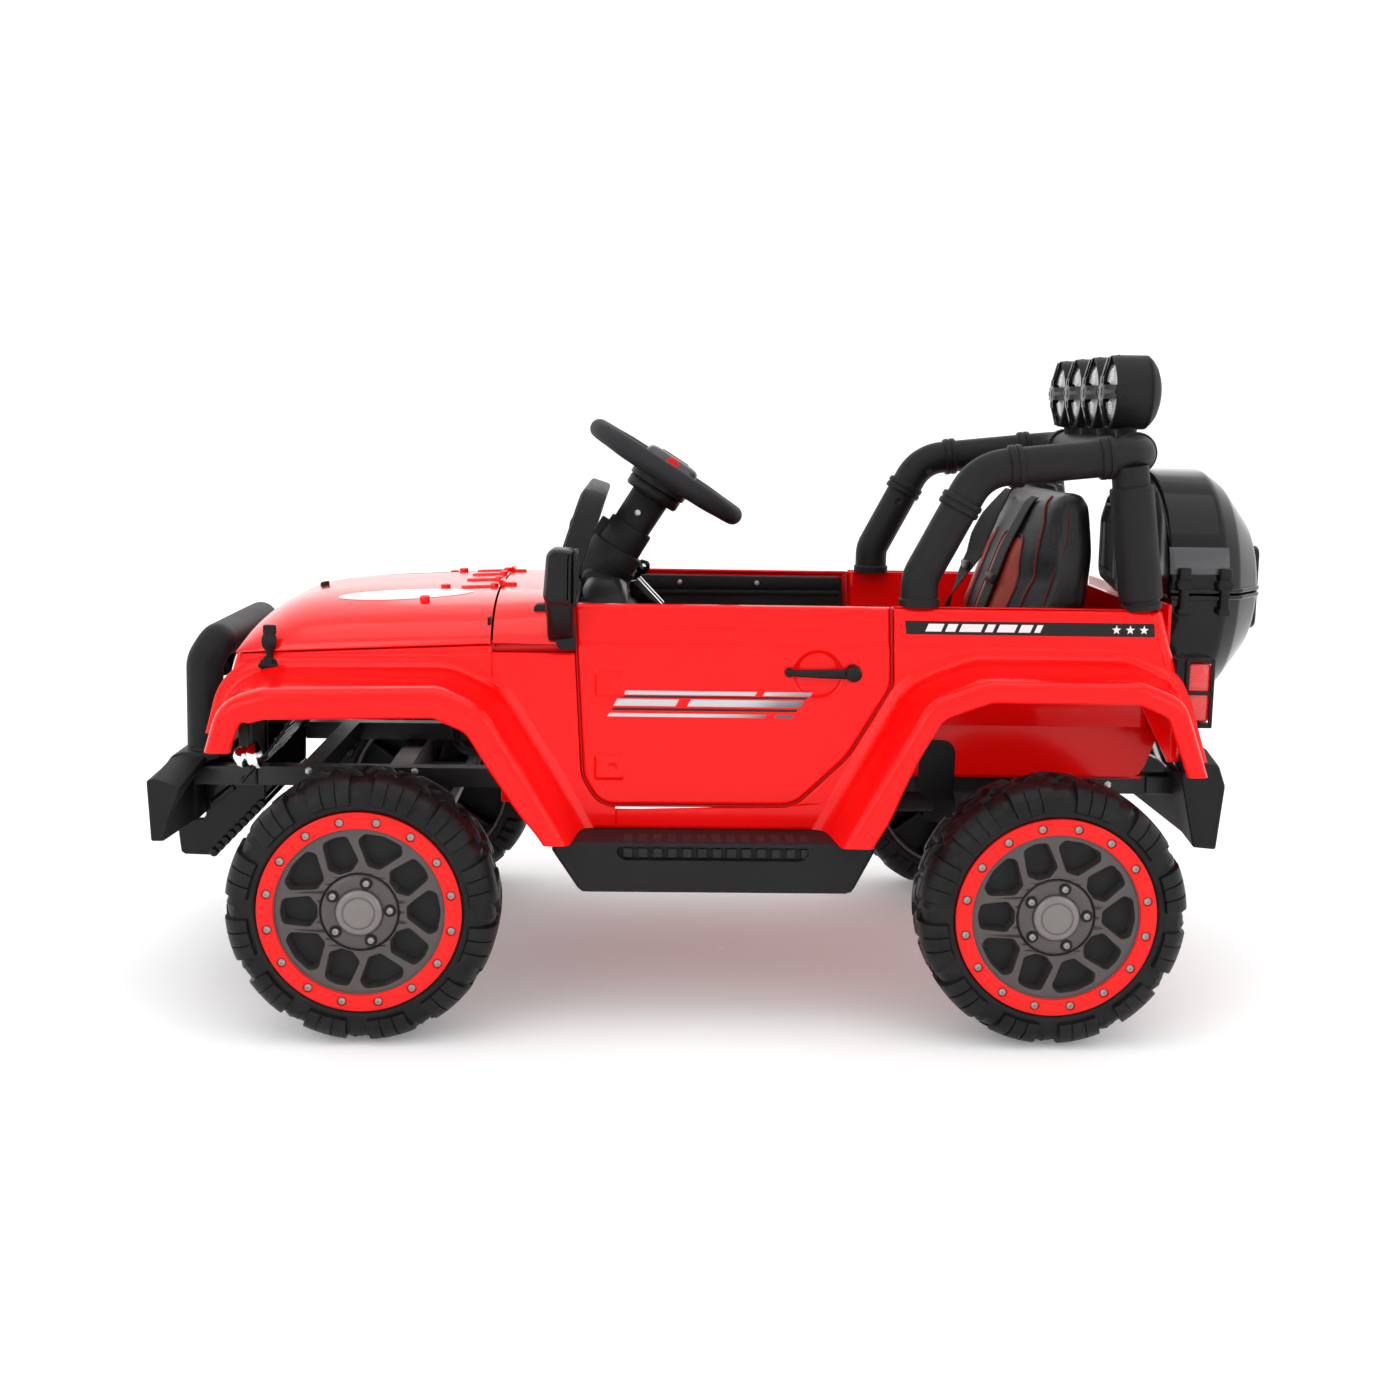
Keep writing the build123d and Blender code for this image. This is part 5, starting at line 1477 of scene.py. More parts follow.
@operator("mirrors", "Mirrors")
def build_mirrors():
    """Two box mirrors on their arms."""
    line = corners([(-190, 424), (-159.5, 422), (-158.5, 476), (-186, 478)], [9, 5, 5, 10], 64)
    rows = []
    for x, inset, lift in ((237, 7, 0), (240, 2.5, 0), (246, 0.5, 0), (262, 0, 0), (284, 0, 0.6),
            (291, 1.2, 0.8), (294.6, 3.4, 1), (295.8, 7, 1)):
        rows.append(np.column_stack([np.full(64, x), shrunk(line, inset) + (0, lift)]))
    head = solid(rows)
    pane = corners([(243, 429), (290, 426), (291, 473), (244, 470)], 7, 56)
    outer = corners([(238, 424), (294, 421), (295, 478), (239, 475)], 9, 64)
    brow = across(slab(outer, [pane], -160, -156.8, 0.8))
    glass = across(plate(pane, [], -158.4))
    arm = []
    for s in np.linspace(0, 1, 12):
        x = 219 + 36 * s
        z0, z1 = 380 + 44 * s ** 1.6, 414 + 14 * s
        line = corners([(-188 + 3 * s, z0), (-162 - 2 * s, z0 + 2), (-160, z1), (-190, z1)], 4, 40)
        arm.append(set_at(x, line))
    arm = solid(arm)
    foot = slab(corners([(-192, 414), (-162, 415), (-159, 372), (-177, 372)], [3, 3, 6, 6], 48), [], 218.2,
        223.8, 1.2)
    make("mirror_heads", both_sides(head + brow + arm + foot), "black_smooth", "mirrors")
    make("mirror_glass", both_sides(glass), "mirror", "mirrors")


def on_axis(shape):
    """A shape drawn about +Z with its hub at the origin, set on the steering axis."""
    return shape.turned(X, -math.degrees(COLUMN)).moved(HUB)


def pad_line(w, h, r, count=64):
    """Closed rounded rectangle as (X, Y) points."""
    return corners([(-w / 2, -h / 2), (w / 2, -h / 2), (w / 2, h / 2), (-w / 2, h / 2)], r, count)


def stack(rows):
    """Skin through closed (X, Y) lines at heights."""
    return grid(np.array([np.column_stack([line, np.full(len(line), z)]) for z, line in rows]), wrap_v=True,
        cap_u=True)


@operator("steering", "Steering")
def build_steering():
    """Hand wheel with grip, spokes, horn pad and button, its skirt, and the shaft."""
    turn = np.linspace(0, 2 * math.pi, 120, endpoint=False)
    around = np.linspace(0, 2 * math.pi, 24, endpoint=False)
    rim = []
    for a in turn:
        grip = 0.5 + 0.5 * math.cos(2 * a)
        r = chosen("grip_radius") + 0.9 * step(0.3, 0.7, grip)
        radius = 87 + r * np.cos(around)
        rim.append(np.column_stack([radius * math.cos(a), radius * math.sin(a), r * np.sin(around)]))
    rim = grid(rim, wrap_u=True, wrap_v=True)
    make("hand_rim", on_axis(rim), "grip", "steering_wheel", body="steering")
    arms = []
    for angle in (0, 180, -90):
        rows = []
        for s in np.linspace(0, 1, 14):
            half = 15 - 6.5 * math.sin(math.pi * s * 0.5) + 1.5 * s * s
            line = pad_line(2 * half, 9 - 2 * s, 3, 32)
            rows.append(np.column_stack([np.full(32, 24 + 60 * s), line[:, 0], line[:, 1] + 2 - 3 * s]))
        arms.append(solid(rows).turned(Z, angle))
    skirt = revolved([(-28, 23.4), (-33, 24.4), (-32.6, 30), (-30, 31.6), (-22, 31.8), (-20.5, 31),
        (-19.5, 33.6), (-8, 34), (-6, 33.4), (-2, 32), (4, 31.5), (6, 28)], (0, 0, 0), Z, 64)
    make("hand_spokes", on_axis(joined(arms) + skirt), "black_smooth", "steering_wheel", body="steering")
    pad = stack([(4, pad_line(62, 64, 16)), (12, pad_line(61, 63, 16)), (15.5, pad_line(58, 60, 15)),
        (17.5, pad_line(53, 55, 13)), (18.4, pad_line(44, 46, 11)), (18.8, pad_line(20, 22, 8))])
    well = slab(pad_line(34, 34, 12, 64), [pad_line(24, 24, 10, 64)], 18.2, 19.6, 0.6)
    well = Shape(well.points[:, [1, 2, 0]], well.faces)
    make("horn_pad", on_axis(pad + well), "grey_panel_and_painted_sheen", "steering_wheel", body="steering")
    side = revolved([(9, 8), (10, 7.6), (10.6, 4), (10.8, 0.01)], (0, 0, 0), X, 28).moved((24, 0, 10))
    make("horn_button", on_axis(side), "ring_red", "steering_wheel", "steering")
    shaft = revolved([(-112, 0.01), (-112, 7), (-20, 7), (-20, 0.01)], (0, 0, 0), Z, 32)
    make("steer_shaft", on_axis(shaft), "steel", "steering_wheel", "steering")


@operator("dash", "Dash")
def build_dash():
    """Dash shroud with its upper ledge and its instrument dome."""
    half = 189.5
    line = corners([(-204, 326), (-204, 413.5), (-150, 413.5), (-120, 409.5), (-99, 395), (-105, 350),
        (-141, 327)], [3, 4, 8, 10, 10, 12, 6], 110)
    shape = slab(line, [], -half, half, 2.0)
    ledge = slab(corners([(-200, 405), (-200, 417), (-152, 417.4), (-148, 405)], 3, 56), [], -150, 150, 2)
    make("dash_shell", shape + ledge, "black", "dashboard")
    dome = []
    for s in np.linspace(0, 1, 18):
        a = s * math.pi / 2
        w, top = 62 * math.cos(a * 0.98) + 1, 405 + 28 * math.sin(a)
        ring = pad_line(2 * w, 0.52 * w + 20, min(9, 0.25 * w + 3), 72)
        rows = np.column_stack([ring[:, 0] + 92, ring[:, 1] - 135, np.full(72, top)])
        dome.append(rows)
    make("dash_dome", solid(dome), "black_smooth", "dashboard")


@operator("column", "Column")
def build_column():
    """The column's shroud and stepped tube, the lever with its gate, and the bright trim."""
    hood_line = corners([(-162, 414), (-160, 441), (-148, 444), (-111, 428), (-108, 416)],
        [3, 8, 12, 10, 3], 72)
    brow = slab(hood_line, [], -66, 66, 6)
    x, y, z = brow.points.T
    arched = np.where(z > 422, z - 0.0016 * x ** 2, z)
    make("column_shroud", Shape(np.column_stack([x, y, arched]), brow.faces), "black", "dashboard")
    tube_shape = revolved([(-150, 21), (-150, 22), (-26, 22), (-24.8, 21.2), (-24.6, 16), (-24.6, 8)],
        (0, 0, 0), Z, 56)
    housing = revolved([(-150, 31), (-100.5, 30.8), (-98.6, 29.6), (-98, 27.4), (-98, 25.4), (-72, 25),
        (-70.3, 24.2), (-70, 22)], (0, 0, 0), Z, 56)
    rib = block((-3, 3), (-33.2, -20), (-148, -78), 2)
    strap = revolved([(-124, 30.9), (-124, 32.4), (-120, 32.6), (-116, 32.4), (-116, 30.9)], (0, 0, 0), Z,
        56)
    lower = on_axis(tube_shape + housing + rib + strap)
    lower.points[:, 2] = np.maximum(lower.points[:, 2], 408)
    make("column_tube", lower, "black", "dashboard")
    screw = revolved([(21.6, 3.4), (22.6, 3.2), (22.9, 2), (22.9, 0.01)], (0, 0, 0), X,
        20).moved((0, -3, -54))
    plug = revolved([(30.4, 4.6), (31.6, 4.4), (31.8, 0.01)], (0, 0, 0), X, 20).moved((0, 6, -112))
    make("column_screw", on_axis(screw), "steel", "dashboard")
    make("column_plug", on_axis(plug), "black_smooth", "dashboard")
    lever = tube([(-62, -112, 410), (-62, -100, 424), (-62, -95, 431)], 4.2, 18)
    knob = revolved([(-8, 0.01), (-8, 4), (-5, 7), (0, 8), (5, 7), (8, 4), (8, 0.01)], (-62, -94, 432),
        (0, 0.3, 1), 28)
    gate = slab(corners([(-113, 416), (-99, 419), (-70, 388), (-78, 380), (-104, 396)], 3, 60), [], -92,
        -40, 1.6)
    make("dash_lever", lever + knob + gate, "gloss_black", "dashboard")
    trim = joined([tube([(x, -100, 420.6), (x, -69.6, 388.6)], 1.1, 12) for x in (-91, -41)])
    cap = revolved([(0, 3.6), (1.2, 3.4), (1.5, 0.01)], (-54, -94, 433), X, 20)
    make("dash_bright", trim + cap, "chrome", "dashboard")


@operator("door_trim", "Door trim")
def build_door_trim():
    """Inner door panels with a stepped rail and screws, and the outer handles."""
    line = corners([(-156, 412), (-147, 246), (-131, 219.5), (58, 220.5), (110, 270), (151, 340),
        (149, 412)], [3, 26, 22, 30, 50, 26, 3], 160)
    rail = slab(corners([(-150, 395), (-148, 411.4), (146, 411.4), (146, 397)], 2.5, 90), [], 190.5, 194.6,
        1.0)
    ledge = slab(corners([(-149, 388), (-149, 393), (147, 395), (147, 390)], 1.6, 90), [], 189.6, 194.6,
        0.9)
    pocket = corners([(-90, 250), (-96, 330), (70, 340), (60, 262), (30, 248)], 16, 90)
    panel = slab(line, [], 194.2, 199, 1.2)
    rim = slab(shrunk(pocket, -4), [pocket], 192.4, 195, 0.9)
    shape = panel + rail + ledge + rim
    screws = joined([revolved([(0, 3.2), (0.7, 2.6), (0.9, 0.01)], (190.6, y, 403), (-1, 0, 0), 18)
        for y in (-49, 45)])
    for name, flip in (("left", 1), ("right", -1)):
        make("inner_panel_" + name, shape.on_side(flip), "black", "door_trim_" + name, body="door_" + name)
        make("panel_screws_" + name, screws.on_side(flip), "steel", "door_trim_" + name,
            "door_" + name)
        bar = []
        for s in np.linspace(0, 1, 26):
            y = 50 + 68 * s
            wide = 3.0 + 2.2 * s
            deep = 3.6 + 0.6 * math.sin(math.pi * s)
            out = 223.5 + 3.2 * math.sin(math.pi * min(1, s * 1.15)) ** 0.7
            ring = pad_line(2 * deep, 2 * wide, 2.6, 28)
            bar.append(np.column_stack([out + ring[:, 0], np.full(28, y), 352.2 - 0.8 * s + ring[:, 1]]))
        bar = solid(bar)
        boss = revolved([(-2, 8.6), (8, 8.4), (11, 7.4), (12.4, 5), (12.6, 0.01)], (218.6, 118, 352), X, 36)
        pin = revolved([(-2, 4.8), (4.4, 4.6), (5, 4), (5.2, 0.01)], (218.6, 54, 352), X, 28)
        handle = bar + boss + pin
        make("pull_" + name, handle.on_side(flip), "black_smooth", "door_handle_" + name, body="door_"
            + name)


@operator("prints", "Prints")
def build_prints():
    """Printed bands: a dark stripe with marks and stars on the tail, and pale bars on each door."""
    stars = joined([side_print(star(y, 398.4, 4.9), 0.5) for y in (383.5, 397.5, 411.5)])
    stripe = strip_print(171, 423, 391.6, 405.2, -0.12, 0.25, 80)
    marks = joined([strip_print(y, y + w, 394.6, 402.4, 0.42, 0.5, 6) for y,
        w in ((190, 16), (210, 10), (224, 22), (250, 8), (262, 18), (284, 12), (300, 6))])
    make("tail_stripe", both_sides(stripe), "rim_dark", "body_shell")
    make("tail_marks", both_sides(stars + marks), "white_print_and_highlight", "body_shell")
    for name, flip in (("left", 1), ("right", -1)):
        bars = [strip_print(y0, y1, z0, z1, 0.55, 0.3, 24) for y0, y1, z0,
            z1 in ((-112, 20, 327.5, 331.5), (28, 76, 327.5, 331.5), (-122, -60, 316, 323),
            (-48, 66, 316, 323), (-128, 30, 305, 308.5), (40, 58, 305, 308.5))]
        dark = [strip_print(y0, y1, z0, z1, 0.55, 0.3, 24) for y0, y1, z0,
            z1 in ((-116, 72, 324.4, 326.4), (-124, 62, 311.4, 314))]
        pale, deep = joined(bars), joined(dark)
        make("door_bars_" + name, pale.on_side(flip), "foil_with_painted_reflection", "door_" + name, "door_" + name)
        make("door_lines_" + name, deep.on_side(flip), "ink", "door_" + name, "door_" + name)


# Seat

def stuffed(name, shape, body, node, cap):
    """A closed pad: remeshed, swollen by cloth pressure up to a cap in millimetres, then smoothed."""
    pad = make(name, shape, "leather", node, body, sharp=70)
    remesh = pad.modifiers.new("Even", "REMESH")
    remesh.mode, remesh.voxel_size = "VOXEL", 5 * MM
    bake(pad)
    start = np.array([v.co[:] for v in pad.data.vertices])
    cloth = pad.modifiers.new("Swell", "CLOTH")
    cloth.settings.use_pressure = True
    cloth.settings.uniform_pressure_force = 4
    cloth.settings.mass = 0.3
    cloth.settings.effector_weights.gravity = 0
    for index in range(1, 21):
        bpy.context.scene.frame_set(index)
    bake(pad)
    bpy.context.scene.frame_set(1)
    moved = np.array([v.co[:] for v in pad.data.vertices]) - start
    size = np.linalg.norm(moved, axis=1, keepdims=True)
    limit = cap * MM
    start = start + moved * (limit * np.tanh(size / limit) / np.maximum(size, 1e-9))
    for vertex, place in zip(pad.data.vertices, start):
        vertex.co = place
    fine = pad.modifiers.new("Smooth", "SUBSURF")
    fine.levels = fine.render_levels = 1
    bake(pad)
    pad.data.shade_smooth()
    return pad


def bake(piece):
    """Replaces a piece's mesh by the result of its modifiers."""
    graph = bpy.context.evaluated_depsgraph_get()
    mesh = bpy.data.meshes.new_from_object(piece.evaluated_get(graph))
    piece.modifiers.clear()
    piece.data = mesh


class Surface:
    """Ray casts onto a padded piece, so that panels, piping and straps lie on it."""

    def __init__(self, pad):
        self.tree = BVHTree.FromObject(pad, bpy.context.evaluated_depsgraph_get())

    def lay(self, points, along, lift):
        """Points moved along a direction onto the surface and lifted off it, in millimetres."""
        out, along = [], Vector(along)
        for p in points:
            start = Vector(p) * MM - along * 0.4
            hit, normal, _, _ = self.tree.ray_cast(start, along)
            if hit is None:
                hit, normal, _, _ = self.tree.find_nearest(Vector(p) * MM)
            if normal.dot(along) > 0:
                normal = -normal
            out.append((hit + normal * lift * MM) / MM)
        return np.array(out)


def panel_on(surface, line, along, lift, plane):
    """Sewn-in panel: rings of an outline laid on the surface, lower at the seam than in its middle."""
    line = np.asarray(line, float)
    centre = line.mean(axis=0)
    rows = []
    for share in np.linspace(1, 0.02, 10):
        flat = centre + (line - centre) * share
        points = [plane(a, b) for a, b in flat]
        rise = lift * float(step(0, 0.22, 1 - share)) - 0.4 * (share == 1)
        rows.append(surface.lay(points, along, rise))
    return grid(rows, wrap_v=True)


def seat_back_line(x):
    """Side outline of the backrest at a place across it: its front bends back towards the sides."""
    side = 44 * float(step(58, 150, abs(x))) ** 0.9

    def front(z):
        """The backrest's front at a height."""
        plain = np.interp(z, [301, 400, 470, 530], [268, 275, 300, 331])
        return plain + side * np.interp(z, [301, 440, 480, 530], [0.9, 1, 0.72, 0.12])

    points = [(front(z), z) for z in (303, 350, 400, 440, 470, 500, 522)]
    points += [(341, 534), (354, 536.5), (366, 534), (374, 522), (379, 470), (374, 403), (354, 401.4),
        (325, 303)]
    return corners(points, [5, 20, 30, 30, 30, 20, 10, 8, 8, 8, 12, 20, 5, 5, 4], 110)


@operator("seat", "Seat")
def build_seat():
    """Moulded seat box, swollen squab and backrest with red inserts and piping, and two straps."""
    box_line = corners([(60, 240.5), (60, 295.6), (230, 287.4), (328, 299.6), (351.4, 399.6),
        (371.6, 399.6), (371.6, 240.5)], [3, 6, 8, 10, 4, 4, 3], 120)
    make("seat_box", slab(box_line, [], -147.6, 147.6, 3), "black", "seat_shell")

    swell = chosen("seat_swell")
    rows = []
    for x, inset in ((-139.5, 9), (-138, 5), (-133, 2), (-124, 0.3), (-110, 0), (-80, 0), (-40, 0), (0, 0),
            (40, 0), (80, 0), (110, 0), (124, 0.3), (133, 2), (138, 5), (139.5, 9)):
        line = shrunk(seat_back_line(x), 2.5 + inset)
        rows.append(set_at(x, line))
    back = stuffed("backrest", solid(rows), "body", "seat_back", swell)
    rows = []
    for x, inset in ((-139.5, 9), (-138, 5), (-133, 2), (-124, 0.3), (-90, 0), (-45, 0), (0, 0), (45, 0),
            (90, 0), (124, 0.3), (133, 2), (138, 5), (139.5, 9)):
        dip = 4 * float(step(20, 110, abs(x)))
        line = corners([(58, 298), (230, 290.5), (259, 294), (256, 326 + dip), (220, 330 + dip),
            (82, 340 + dip), (58, 333)], [8, 20, 8, 12, 30, 20, 14], 100)
        rows.append(set_at(x, shrunk(line, 1.5 + inset)))
    squab = stuffed("squab", solid(rows), "body", "seat_cushion", swell)
    face, top = Surface(back), Surface(squab)

    def upright(a, b):
        """A pattern point of the backrest, before it is laid on."""
        return (a, 300, b)

    def level(a, b):
        """A pattern point of the squab, before it is laid on."""
        return (a, b, 330)

    inserts, piping = [], []
    for flip in (-1, 1):
        outline = corners([(22 * flip, 330), (92 * flip, 330), (98 * flip, 430), (86 * flip, 484),
            (22 * flip, 486)], [8, 10, 30, 10, 6], 80)
        inserts.append(panel_on(face, outline, Y, 1.3, upright))
        loop = np.array([upright(a, b) for a, b in outline])
        piping.append(tube(np.vstack([face.lay(loop, Y, 0.5), face.lay(loop[:1], Y, 0.5)]), 0.9, 8))
        outline = corners([(22 * flip, 90), (98 * flip, 90), (102 * flip, 215), (22 * flip, 225)],
            [10, 20, 20, 6], 80)
        inserts.append(panel_on(top, outline, (0, 0, -1), 1.3, level))
    make("seat_inserts", joined(inserts), "leather_red", "seat_back")

    edges = []
    for flip in (-1, 1):
        spine = [(112 * flip, 290, z) for z in np.linspace(322, 500, 40)]
        spine += [(112 * flip - flip * 10 * t, 300, 500 + 26 * t) for t in np.linspace(0.1, 1, 8)]
        edges.append(tube(face.lay(spine, Y, 0.6), 1.5, 10))
        side_seam = [(150 * flip, y, z) for y, z in rounded([(348, 515), (347, 480), (336, 447),
            (322, 400)], [0, 20, 30, 0], steps=6)]
        edges.append(tube(face.lay(side_seam, (-flip, 0, 0), 0.1), 0.8, 8))
    make("seat_piping", joined(edges), "maroon", "seat_back")
    make("insert_seams", joined(piping), "maroon", "seat_back")

    width = chosen("strap_width")
    wide = np.linspace(-width / 2, width / 2, 9)
    near = np.array([face.lay([(57 + a, 300, z) for a in wide], Y, 2.6) for z in np.linspace(345, 522, 60)])
    near[:, :, 1] = near[:, :, 1].min(axis=1, keepdims=True) * 0.7 + near[:, :, 1] * 0.3
    drop = resampled([(-57, 322, 528), (-57, 303, 500), (-56, 292, 476), (-54, 286, 455), (-50, 272, 432),
        (-47, 258, 405), (-46, 246, 372), (-47, 240, 352)], 70)
    free = []
    for i, (x, y, z) in enumerate(drop):
        bend = 0.5 * math.sin(i / 69 * 5.2)
        free.append([(x + a * math.cos(bend), y + a * math.sin(bend), z) for a in wide])
    free = np.array(free)
    for name, rows in (("strap_left", near), ("strap_right", free)):
        piece = make(name, grid(rows), "webbing", "seat_belts", solidify=1.3)
        "laid" if name == "strap_left" else "hung"
    clips = []
    for rows in (near, free):
        p = rows[len(rows) // 2].mean(axis=0)
        clips.append(block((p[0] - 19, p[0] + 19), (p[1] - 4.2, p[1] + 1.0), (p[2] - 5, p[2] + 5), 1.5))
    make("strap_slides", joined(clips), "black_smooth", "seat_belts")


# Roll bar, lamps, spare-wheel case

BAR_X = 200.0
LAMPS_X = (-117.0, -39.0, 39.0, 117.0)


@operator("roll_bar", "Roll bar")
def build_roll_bar():
    """Raked hoops with stepped sockets and ringed joints, and rear legs with sleeves."""
    half = [(BAR_X, 185, 418), (BAR_X, 185, 447), (BAR_X, 242, 556), (BAR_X, 408, 574), (0, 408, 574)]
    line = half + [(-x, y, z) for x, y, z in half[-2::-1]]
    path = resampled(rounded(line, [0, 30, 48, 40, 0, 40, 48, 30, 0], steps=18), 420)
    radius = chosen("roll_bar_radius")
    shapes = [tube(path, radius, 36)]
    ring = [(-7, 18.6), (-6.8, 20.6), (-5.6, 21.6), (-1.4, 21.8), (-0.9, 20.6), (0.9, 20.6), (1.4, 21.8),
        (5.6, 21.6), (6.8, 20.6), (7, 18.6)]
    hoops = []
    for x in (BAR_X, -BAR_X):
        for y, z, lean in ((223, 521, 27.6), (277, 560, 83.9), (367.5, 569.7, 83.9)):
            way = np.array([0, math.sin(math.radians(lean)), math.cos(math.radians(lean))])
            hoops.append(revolved(ring, (x, y, z), way, 48))
        cross = np.array([math.copysign(1, x), 0, 0])
        hoops.append(revolved(ring, (x * 0.79, 408, 574), cross, 48))
        foot = [(0, 20.4), (7, 20.6), (8.2, 19.6), (8.4, 18)]
        hoops.append(revolved(foot, (x, 185, 418.2), Z, 48))
        leg = np.array([0, -20.0, 144.0])
        shapes.append(revolved([(0, radius), (145, radius)], (x, 412, 418), leg, 48))
        hoops.append(revolved([(10, 18.6), (10.4, 21), (11.6, 22), (123, 22), (124.6, 21), (125, 18.6)],
            (x, 412, 418), leg, 48))
        hoops.append(revolved([(0, 20.2), (5, 20.4), (6.2, 19.6), (6.4, 18.6)], (x, 412, 418.2), leg, 48))
    make("bar_tubes", joined(shapes), "black", "roll_bar")
    make("bar_joints", joined(hoops), "black", "roll_bar", sharp=30)
    bolts = []
    for x, way in ((-BAR_X, 1), (BAR_X, -1)):
        for y, z in ((249, 543.5), (213, 505)):
            bolts.append(revolved([(18.2, 4.2), (19.4, 4.0), (18.9, 2.6), (18.7, 0.01)], (x, y, z),
                (way, 0, 0), 24))
    make("bar_bolts", joined(bolts), "black_smooth", "roll_bar")


@operator("bar_panels", "Bar panels")
def build_bar_panels():
    """Framed mesh panels that fill the roll bar's lower corners."""
    outer = corners([(97, 444), (176.5, 433), (176.5, 531), (124, 531), (98, 506)], [16, 4, 4, 16, 10], 100)
    inner = shrunk(outer, 12)
    side = across(slab(outer, [inner], 390.4, 401.6, 2.4))
    lip = across(slab(shrunk(outer, 9), [inner], 388.8, 391.4, 0.8))
    make("panel_frames", both_sides(side + lip), "grey_panel_and_painted_sheen", "bar_panels")
    make("panel_meshes", both_sides(across(slab(shrunk(inner, -1.5), [], 394, 397, 0.5))), "mesh",
        "bar_panels")


@operator("roof_lamps", "Roof lamps")
def build_roof_lamps():
    """Four round lamps with domed backs, clawed guards over pale lenses, and stalks."""
    shells, claws, glass = [], [], []
    for x in LAMPS_X:
        at = np.array([x, 410, 636.0])
        shell = revolved([(-22.0, 33.6), (-22.2, 36.2), (-21, 37.4), (-16, 38.0), (12, 38.2), (12.6, 37.4),
            (13.6, 37.4), (14.2, 38.2), (16.4, 38), (17, 37.1), (20.5, 34.2), (24.5, 28.6), (27.6, 21),
            (29.6, 12), (30.5, 5), (30.6, 0.01)], at, Y, 64)
        inner = revolved([(-22, 33.6), (-9, 32.8), (-8, 31)], at, Y, 64)
        stalk = [(580 + s * 24, 12.6 - 2.0 * math.sin(math.pi * min(1, s * 1.1)))
            for s in np.linspace(0, 1, 10)]
        stalk = revolved([(z, r) for z, r in stalk], (x, 408, 0), Z, 36)
        foot = swept([(14.5 * math.cos(a), 3 * math.sin(a)) for a in np.linspace(0, 2 * math.pi, 24,
            endpoint=False)], np.array([(x, 408, 591.5), (x, 408, 594.5)]))
        shells += [shell, inner, stalk, foot]
        hub = revolved([(-30.6, 0.01), (-30.6, 6), (-29.4, 9.4), (-27, 10.4), (-22.4, 10.4), (-22, 9)], at,
            Y, 32)
        wide = revolved([(-31.2, 0.01), (-31.2, 4.2), (-30.2, 4.6)], at, Y, 24)
        pieces = [hub, wide]
        for turn in (0, 90, 180, 270):
            claw = extruded([(-30.2, 6), (-30, 15), (-28.6, 17), (-23.6, 36.0), (-14, 38.4), (-14, 36.4),
                (-21.4, 34.2), (-25.8, 18), (-25.8, 6)], -7.2, 7.2)
            claw = claw + extruded([(-30.9, 9), (-30.6, 14), (-24.6, 35.4), (-24, 35), (-26.8, 16),
                (-27, 9)], -2.2, 2.2)
            pieces.append(claw.turned(Y, turn, (0, 0, 0)).moved(at))
        claws += pieces
        glass.append(revolved([(-14, 32.6), (-17.4, 30), (-19.6, 22), (-20.6, 10), (-20.8, 0.01)], at, Y,
            56))
    make("lamp_shells", joined(shells), "black", "roof_lamps")
    make("lamp_claws", joined(claws), "gloss_black", "roof_lamps", bevel=0.8)
    make("lamp_glass", joined(glass), "lens", "roof_lenses")


CASE_Z = 427.0


def case_skin(low, high, offset=0.0):
    """Part of the case's drum between two turns about its axis, counted from +X towards +Z."""
    profile = rounded([(40, 460), (128, 460), (128, 520), (114, 540), (70, 574.5), (1, 574.5)],
        [0, 5, 14, 20, 34, 0], steps=8)
    rows = []
    for a in np.linspace(math.radians(low), math.radians(high), 84):
        r, y = profile[:, 0] + offset, profile[:, 1]
        rows.append(np.column_stack([r * math.cos(a), y, CASE_Z + r * math.sin(a)]))
    return grid(rows)


def case_rim(high):
    """Rolled edge where the lid and the bowl meet."""
    side = 1 if high else -1
    line = rounded([(128, 462), (128, 520), (114, 540), (70, 574.5), (30, 574.5)], [0, 14, 20, 34, 0],
        steps=6)
    out = []
    for flip in (-1, 1):
        path = np.array([(flip * (r + 0.4), y, CASE_Z + side * 3.4) for r, y in line])
        out.append(tube(resampled(path, 90), 2.9, 12))
    return joined(out)


